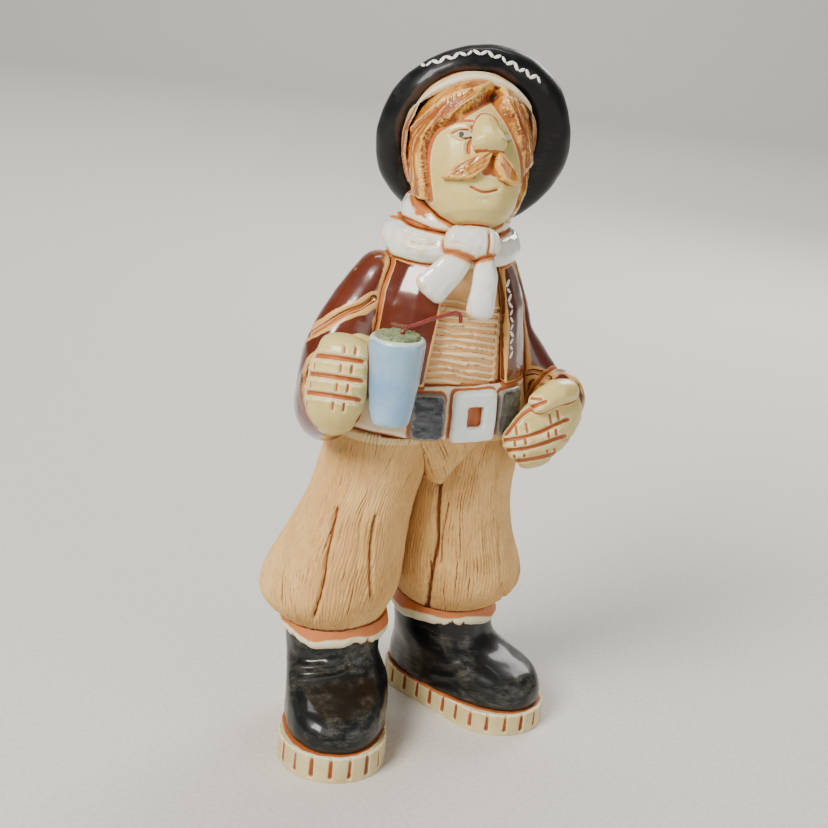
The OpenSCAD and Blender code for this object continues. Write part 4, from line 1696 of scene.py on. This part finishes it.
@dataclass
class Clothes(Part):
    """Shirt, jacket and sleeves.

    Attributes:
        under_grain: size of the shirt's faces where the jacket hides it.
        shirt_grain: size of the faces of its ridged front.
        back_grain: size of the jacket back's faces.
        front_grain: size of the jacket fronts' faces.
        sleeve_grain: size of a sleeve's faces.
        slab: thickness of the ridged front.
        opening: half width of the ridged front.
        off_knot: how far its middle lies to the side of the scarf's knot.
        below_knot: how far under the knot's middle it begins and ends.
    """

    under_grain: float = 0.8
    shirt_grain: float = 0.36
    back_grain: float = 0.55
    front_grain: float = 0.36
    sleeve_grain: float = 0.42
    slab: float = 1.5
    opening: float = 17.0
    off_knot: float = -2.4
    below_knot: tuple[float, float] = (1.2, 41.2)

    def build(self) -> None:
        """Builds the clothes."""
        under = Working(self.under_grain, 3, -0.4, dent=5.0, seed=70, sharp=0.0)
        self.keep(under.skin("shirt_body"), "shirt_body_clay", Finishes.SHIRT)
        self.shirt_front()
        folds = (ELBOW_FOLD, CUFF_FOLD)
        for seed, side in enumerate(SIDES):
            slab = Working(self.front_grain, 6, dent=8.0, depth=0.35, seed=71 + seed, cuts=folds,
                           spread=6, seam=1.3)
            self.keep(slab.skin(f"jacket_{side}_front"), f"jacket_{side}_front_glazed", Finishes.JACKET)
            for seed_more, part in enumerate(("upper", "forearm")):
                roll = Working(self.sleeve_grain, 40, 0.2, dent=7.0, depth=0.3,
                               seed=75 + seed * 2 + seed_more, cuts=folds, seam=1.3)
                node = f"{side}_{part}_sleeve"
                self.keep(roll.skin(node), f"{node}_glazed", Finishes.JACKET)
        name = "jacket_garland"
        row = Garland(gap=1.8, leaf=2.5, seed=12)
        self.pieces[name] = row.paint(name, PANEL, PANEL_GARLAND, self.pieces["jacket_left_front_glazed"])
        slab = Working(self.back_grain, 12, dent=10.0, depth=0.5, seed=80, seam=1.1)
        self.keep(slab.skin("jacket_back"), "jacket_back_glazed", Finishes.JACKET)

    def shirt_front(self) -> None:
        """Lays a slab over the shirt where the jacket is open, and tears ridges into it."""
        whole = Skin.of(("shirt_body",), self.shirt_grain, 24, 0.0)
        at = SCARF_CUTS.lay(whole.points)
        start, end = self.below_knot
        shown = (facing(whole.normals()) > 0.15) & (np.abs(at[:, 0] - self.off_knot) < self.opening)
        shirt = whole.patch(shown & (at[:, 1] < -start) & (at[:, 1] > -end), self.slab)
        shirt.dent(5.0, 0.2, 70)
        shirt.carve(ridges())
        shirt.weather(0.1, 0.14, 4)
        shirt.seams(0.8)
        shirt.own = ()
        self.keep(shirt, "shirt_front_pleated", Finishes.SHIRT)


@dataclass
class Hands(Part):
    """Both hands, with fingers cut into them.

    Attributes:
        grain: size of their faces.
    """

    grain: float = 0.26

    def build(self) -> None:
        """Builds the hands and thumbs."""
        for seed, side in enumerate(SIDES):
            lines = right_fingers() if side == "right" else left_fingers()
            palm = Working(self.grain, 22, 0.1, dent=5.0, seed=90 + seed, cuts=(lines,), sharp=0.1,
                           hollow=0.14, spread=5, seam=0.8)
            for part in ("hand", "thumb"):
                self.keep(palm.skin(f"{side}_{part}"), f"{side}_{part}_cut", Finishes.SKIN)


@dataclass
class Drink(Part):
    """The gourd cup, the leaves in it and the drinking straw.

    Attributes:
        gourd_grain: size of the cup's faces.
        straw_radius: radius of the straw's wire.
        bend: radius of its bends.
        crumb: size of a leaf crumb.
        crumbs: how many crumbs lie on a square metre.
        straw_path: the straw's corners, in millimetres from its foot.
    """

    gourd_grain: float = 0.34
    straw_radius: float = 0.5
    bend: float = 1.0
    crumb: float = 0.55
    crumbs: float = 2.2e6
    straw_path: tuple[Colour, ...] = (
        (0.0, 0.0, 0.0), (0.0, 0.0, 4.0), (1.0, 0.1, 5.0), (8.0, 1.0, 7.0), (15.0, 1.2, 8.6),
        (16.4, 1.3, 8.1), (16.8, 1.4, 6.0),
    )

    def build(self) -> None:
        """Builds the cup and what stands in it."""
        shell = Working(self.gourd_grain, 12, 0.05, dent=8.0, depth=0.3, seed=100, sharp=0.14,
                        hollow=0.25, seam=0.4)
        self.keep(shell.skin("gourd"), "gourd_glazed", Finishes.GOURD)
        self.leaves()
        self.straw()

    def leaves(self) -> None:
        """Heaps crumbs of leaf on the plug in the cup."""
        plug = Skin.of(("gourd_leaves",), 0.3, 6, 0.08)
        plug.push(0.3 * lumps(plug.points / 0.8, 101))
        plug.normals()
        grow = Growth("leaf_crumbs")
        count = grow.input("Crumbs to a square metre", self.crumbs)
        size = grow.input("Crumb size", self.crumb * MM)
        seed = grow.input("Seed", 5)
        up = grow.node("GeometryNodeInputNormal", {}, {})
        split = grow.node("ShaderNodeSeparateXYZ", {}, {0: up.outputs[0]})
        more = {"data_type": "FLOAT", "operation": "GREATER_THAN"}
        top = grow.node("FunctionNodeCompare", more, {0: split.outputs[2], 1: 0.5})
        spots = grow.node("GeometryNodeDistributePointsOnFaces", {}, {
            "Mesh": grow.source.outputs[0], "Selection": top.outputs[0], "Density": count, "Seed": seed,
        })
        chip = grow.node("GeometryNodeMeshIcoSphere", {}, {"Radius": size, "Subdivisions": 1})
        flake = grow.node("GeometryNodeTransform", {}, {
            "Geometry": chip.outputs[0], "Scale": (1.0, 0.4, 0.25),
        })
        turn = grow.node("FunctionNodeRandomValue", {"data_type": "FLOAT_VECTOR"}, {
            0: (-0.6, -0.6, 0.0), 1: (0.6, 0.6, 6.28), "Seed": seed,
        })
        crumbs = grow.node("GeometryNodeInstanceOnPoints", {}, {
            "Points": spots.outputs[0], "Instance": flake.outputs[0], "Rotation": turn.outputs[0],
        })
        both = grow.node("GeometryNodeJoinGeometry", {}, {})
        self.join(grow, both, (crumbs.outputs[0], grow.source.outputs[0]))
        made = grow.bake(plug.mesh, both.outputs[0], Finishes.LEAVES)
        self.pieces["leaf_plug"] = finished("leaf_plug", made, Finishes.LEAVES, ("gourd_leaves",))

    def join(self, grow: Growth, node: bpy.types.Node, shapes: tuple[bpy.types.NodeSocket, ...]) -> None:
        """Feeds several shapes to one join node."""
        for shape in shapes:
            grow.tree.links.new(shape, node.inputs[0])

    def straw(self) -> None:
        """Bends the wire straw: up out of the cup, across to the chest and down at its tip."""
        low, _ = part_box("drinking_straw")
        start = low / MM + Vector((self.straw_radius, self.straw_radius, 0.0))
        corners = [(start + Vector(step)) * MM for step in self.straw_path]
        mesh = bpy.data.meshes.new("straw")
        mesh.from_pydata(corners, [(i, i + 1) for i in range(len(corners) - 1)], [])
        grow = Growth("straw")
        radius = grow.input("Wire radius", self.straw_radius * MM)
        bend = grow.input("Bend radius", self.bend * MM)
        line = grow.node("GeometryNodeMeshToCurve", {}, {"Mesh": grow.source.outputs[0]})
        soft = grow.node("GeometryNodeFilletCurve", {"mode": "POLY"}, {
            "Curve": line.outputs[0], "Radius": bend, "Count": 6,
        })
        ring = grow.node("GeometryNodeCurvePrimitiveCircle", {}, {"Resolution": 12, "Radius": radius})
        wire = grow.node("GeometryNodeCurveToMesh", {}, {
            "Curve": soft.outputs[0], "Profile Curve": ring.outputs[0], "Fill Caps": True,
        })
        made = grow.bake(mesh, wire.outputs[0], Finishes.STRAW)
        self.pieces["straw_painted"] = finished("straw_painted", made, Finishes.STRAW, ("drinking_straw",))


@dataclass
class Scarf(Part):
    """The neckerchief: two rolls, the knot and its tails.

    Attributes:
        roll_grain: size of a roll's faces.
        tail_grain: size of the knot's and the tails' faces.
    """

    roll_grain: float = 0.38
    tail_grain: float = 0.26

    def build(self) -> None:
        """Builds the neckerchief."""
        for seed, name in enumerate(("upper_roll", "lower_roll")):
            cloth = Working(self.roll_grain, 19, dent=5.0, depth=0.45, seed=110 + seed, cuts=(SCARF_CUTS,),
                            sharp=0.16, hollow=0.2, seam=2.0)
            self.keep(cloth.skin(f"scarf_{name}"), f"scarf_{name}_glazed", Finishes.SCARF)
        for seed, name in enumerate(("knot", "right_tail", "left_tail")):
            cloth = Working(self.tail_grain, 9, dent=4.0, depth=0.3, seed=112 + seed, cuts=(SCARF_CUTS,),
                            sharp=0.11, hollow=0.2, seam=2.0)
            self.keep(cloth.skin(f"scarf_{name}"), f"scarf_{name}_glazed", Finishes.SCARF)


@dataclass
class Head(Part):
    """Face, hair and moustache.

    Attributes:
        face_grain: size of the face's faces, from which the moustache is cut too.
        hair_grain: size of the hair's faces.
        fine_grain: size of the nose's faces.
        hair_thick: thickness of the hair.
        crown: how much thicker it is at the top, under the hat's band.
        crown_drop: how far below the head's top the thickening starts.
        sunk: how far the hair's skin runs below the face where there is no hair.
        wing: how far the moustache stands out.
        wing_sunk: how far its rim runs below the face.
        wing_slab: thickness of the slab that it is cut from.
        eye_squint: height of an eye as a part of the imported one.
    """

    face_grain: float = 0.25
    hair_grain: float = 0.27
    fine_grain: float = 0.19
    hair_thick: float = 2.7
    crown: float = 2.4
    crown_drop: float = 8.0
    sunk: float = 0.9
    wing: float = 2.3
    wing_sunk: float = 0.7
    wing_slab: float = 1.6
    eye_squint: float = 0.66

    def build(self) -> None:
        """Builds the head."""
        head = Skin.of(("head",), self.face_grain, 26, 0.05)
        head.dent(6.0, 0.3, 120)
        self.moustache(head)
        head.carve(FACE)
        head.weather(0.12, 0.14, 5)
        head.seams(0.8, tuple(f"{side}_{part}" for side in SIDES for part in ("hair", "moustache", "eye")))
        at = FACE.lay(head.points)
        rim = 1.0 - np.abs(within(at, face_outline())) / 1.1
        head.wash = np.maximum(head.wash, 1.1 * rim * (at[:, 1] > -13.3))
        self.keep(head, "face_cut", Finishes.SKIN)
        self.keep(Working(0.35, 20, sharp=0.0, seam=1.2).skin("neck"), "neck_clay", Finishes.SKIN)
        lump = Working(self.fine_grain, 7, 0.15, sharp=0.1, hollow=0.14, seam=0.7)
        self.keep(lump.skin("nose"), "nose_cut", Finishes.SKIN)
        self.hair()
        for side in SIDES:
            eye = Skin.of((f"{side}_eye",), 0.08, 4, 0.05)
            level = (eye.points[:, 2].min() + eye.points[:, 2].max()) / 2
            eye.points[:, 2] = level + (eye.points[:, 2] - level) * self.eye_squint
            away = np.linalg.norm(FACE.lay(eye.points) - EYE_SPOT, axis=1)
            if side == "right":
                eye.wash = 0.9 * (1.0 - smooth_step(away, 0.55, 0.85))
            self.keep(eye, f"{side}_eye_painted", Finishes.EYE)

    def hair(self) -> None:
        """Grows the hair on the skull: it opens in a pointed arch over the face."""
        skin = Skin.of(("head",), self.hair_grain, 26, 0.0)
        normals = skin.normals()
        solids = [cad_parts[f"{side}_hair"].data for side in SIDES]
        depths = []
        for data in solids:
            tree = surface_of(data)
            depths.append([(tree.find_nearest(p, 4.0)[3] or 4.0) for p in skin.points + normals * 1.3])
        behind = 1.0 - smooth_step(np.min(depths, axis=0), 1.5, 1.9)
        open_face = within(FACE.lay(skin.points), face_outline())
        front = 1.0 - smooth_step(open_face, -0.3, 0.3)
        turn = smooth_step(facing(normals), -0.3, 0.05)
        cover = behind * (1.0 - turn) + front * turn
        top = round(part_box("head")[1].z / MM)
        crown = self.crown * smooth_step(skin.points[:, 2], top - self.crown_drop, top)
        skin.push(-self.sunk + (self.hair_thick + crown + self.sunk) * cover)
        skin.relax(8)
        self.strands(skin, "hair", 130)
        skin.weather(0.1, 0.14, 4)
        skin.own = ("right_hair", "left_hair")
        self.keep(skin, "hair_carved", Finishes.HAIR)

    def moustache(self, head: Skin) -> None:
        """Raises both halves of the moustache from the face as flat, carved wings.

        Args:
            head: the face's skin, before its own cuts.
        """
        normals = head.normals()
        at = FACE.lay(head.points)
        for seed, side in enumerate(SIDES):
            outline = wing_outline(side)
            deep = within(at, outline)
            wing = head.patch((deep > -0.9) & (facing(normals) > 0.2), self.wing_slab)
            inside = within(FACE.lay(wing.points), outline)
            front = facing(wing.normals()) > 0.0
            raised = (self.wing + self.wing_sunk) * smooth_step(inside, -0.15, 0.35)
            wing.push(np.where(front, -self.wing_sunk + raised, 0.0))
            wing.relax(3)
            self.strands(wing, "moustache", 135 + seed)
            wing.weather(0.08, 0.12, 5)
            wing.own = (f"{side}_moustache",)
            self.keep(wing, f"{side}_moustache_carved", Finishes.HAIR)

    def strands(self, skin: Skin, part: str, seed: int) -> None:
        """Carves strands: laid-out locks in the hair, slanting ones in the moustache and at the back.

        Args:
            skin: the skin.
            part: "hair" or "moustache".
            seed: which strands.
        """
        if part == "hair":
            skin.carve(locks())
            x, y, z = skin.points.T
            across = (np.arctan2(y + 4.0, x) * 13.0 + 0.15 * z) / 0.75
            along = z
        else:
            at = FACE.lay(skin.points)
            half = np.abs(at[:, 0] - LIP[0])
            across = (at[:, 1] * 0.8 + half * 0.62) / 0.7
            along = half
        score = lumps(np.column_stack([across, along * 0.12, np.zeros(len(across))]), seed)
        groove = np.exp(-((score / 0.16) ** 2))
        front = smooth_step(facing(skin.normals()), -0.1, 0.2)
        depth = 0.3 * front if part == "moustache" else 0.3 * (1.0 - front) + 0.1
        stain = 0.7 if part == "moustache" else 0.25 + 0.45 * (1.0 - front)
        skin.push(-depth * groove)
        skin.wash = np.maximum(skin.wash, groove * stain)


@dataclass
class Hat(Part):
    """The beret and its band.

    Attributes:
        band_grain: size of the band's faces.
        beret_grain: size of the beret's faces.
        squeeze: how far the band is pushed in low down.
        free: how far below the band's top the squeeze starts and is complete.
    """

    band_grain: float = 0.4
    beret_grain: float = 0.5
    squeeze: float = 1.5
    free: tuple[float, float] = (4.0, 13.0)

    def build(self) -> None:
        """Builds the hat."""
        band = Skin.of(("beret_band",), self.band_grain, 10)
        top = round(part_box("beret_band")[1].z / MM)
        start, end = self.free
        low = 1.0 - smooth_step(band.points[:, 2], top - end, top - start)
        band.push(-self.squeeze * low - 0.2)
        band.weather(0.12, 0.2)
        band.wash = np.maximum(band.wash, 0.5 * low)
        band.seams(1.2)
        self.keep(band, "beret_band_clay", Finishes.BAND)
        # The beret's sharp rim takes its dark red-brown thin-edge colour: partly chipped glaze, partly a
        # painted reflection.
        felt = Working(self.beret_grain, 30, dent=14.0, depth=0.6, seed=140, sharp=0.14, hollow=0.4)
        self.keep(felt.skin("beret"), "beret_glazed", Finishes.BERET)
        name = "beret_garland"
        row = Garland(gap=1.75, leaf=2.5, seed=11)
        self.pieces[name] = row.paint(name, FACE, HAT_GARLAND, self.pieces["beret_glazed"])


# ---------------------------------------------------------------- studio


@dataclass
class Studio:
    """Camera, lights and floor.

    Attributes:
        lens: focal length, in millimetres.
        pitch: how far the view is tilted down, in degrees.
        turn: how far it is turned to the left.
        roll: how far it is rolled.
        back: where the floor begins to rise, in metres behind the figure.
        half_floor: half width of the floor.
    """

    lens: float = 60.3
    pitch: float = 17.4
    turn: float = 0.661
    roll: float = 6.0
    back: float = 2.2
    half_floor: float = 30.0

    def camera(self) -> None:
        """Sets the camera at the viewer's eye."""
        data = bpy.data.cameras.new("camera")
        data.lens = self.lens
        data.sensor_width = 36.0
        made = bpy.data.objects.new("camera", data)
        bpy.context.scene.collection.objects.link(made)
        bpy.context.scene.camera = made
        yaw = math.radians(self.turn)
        pitch = math.radians(self.pitch)
        roll = math.radians(self.roll)
        flat = AHEAD * math.cos(yaw) - ACROSS * math.sin(yaw)
        right = ACROSS * math.cos(yaw) + AHEAD * math.sin(yaw)
        look = flat * math.cos(pitch) - UP * math.sin(pitch)
        top = flat * math.sin(pitch) + UP * math.cos(pitch)
        across = right * math.cos(roll) + top * math.sin(roll)
        rise = top * math.cos(roll) - right * math.sin(roll)
        place = -AHEAD * EYE_REACH - Vector((*OFF_MIDDLE, 0.0)) + UP * EYE_HEIGHT
        turn = Matrix((across, rise, -look)).transposed().to_4x4()
        made.matrix_world = Matrix.Translation(place * MM) @ turn

    def lamp(self, name: str, place: Colour, aim: Colour, size: float, power: float, tint: Colour) -> None:
        """Hangs a soft lamp.

        Args:
            name: its name.
            place: where it hangs.
            aim: where it points.
            size: its width.
            power: its power in watts.
            tint: its colour.
        """
        data = bpy.data.lights.new(name, "AREA")
        data.shape = "SQUARE"
        data.size = size
        data.energy = power
        data.color = tint
        made = bpy.data.objects.new(name, data)
        bpy.context.scene.collection.objects.link(made)
        made.location = place
        made.rotation_euler = (Vector(aim) - Vector(place)).to_track_quat("-Z", "Y").to_euler()

    def light(self) -> None:
        """Hangs the lamps and sets a pale surround."""
        aim = (0.0, 0.0, 0.1)
        self.lamp("key", (-0.75, -0.35, 0.75), aim, 0.4, 18.0, (1.0, 0.96, 0.9))
        self.lamp("fill", (0.5, -0.9, 0.35), aim, 0.8, 3.2, (1.0, 0.98, 0.95))
        self.lamp("rim", (0.7, 0.5, 0.6), aim, 0.4, 5.0, (1.0, 0.98, 0.95))
        self.lamp("wall", (0.2, 0.6, 1.9), (1.2, 2.6, 0.7), 1.2, 55.0, (1.0, 0.99, 0.97))
        world = bpy.data.worlds.new("surround")
        bpy.context.scene.world = world
        world.use_nodes = True
        back = world.node_tree.nodes["Background"]
        back.inputs["Color"].default_value = (0.9, 0.9, 0.9, 1.0)
        back.inputs["Strength"].default_value = 0.3

    def floor(self) -> None:
        """Lays a plain floor that curves up into a wall far behind the figure."""
        steps = 24
        profile = [(-self.half_floor, 0.0), (self.back, 0.0)]
        for i in range(1, steps + 1):
            turn = math.pi / 2 * i / steps
            profile.append((self.back + math.sin(turn), 1.0 - math.cos(turn)))
        profile.append((self.back + 1.0, 9.0))
        corners = []
        for run, rise in profile:
            for across in (-self.half_floor, self.half_floor):
                corners.append(AHEAD * run + ACROSS * across + UP * rise)
        faces = [(2 * i, 2 * i + 1, 2 * i + 3, 2 * i + 2) for i in range(len(profile) - 1)]
        mesh = bpy.data.meshes.new("floor")
        mesh.from_pydata(corners, [], faces)
        mesh.polygons.foreach_set("use_smooth", np.ones(len(faces), bool))
        made = bpy.data.objects.new("floor", mesh)
        bpy.context.scene.collection.objects.link(made)
        mesh.materials.append(PALETTE.plain("floor_paper", hex_colour("d9d6cf"), 0.8))


def main() -> None:
    """Builds the figure and its studio."""
    logging.basicConfig(level=logging.INFO, format="%(message)s")
    studio = Studio()
    studio.camera()
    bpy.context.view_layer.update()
    parts = (Footwear(), Trousers(), Waist(), Clothes(), Hands(), Drink(), Scarf(), Head(), Hat())
    for part in parts:
        part.build()
    studio.light()
    studio.floor()


if __name__ == "__main__":
    main()
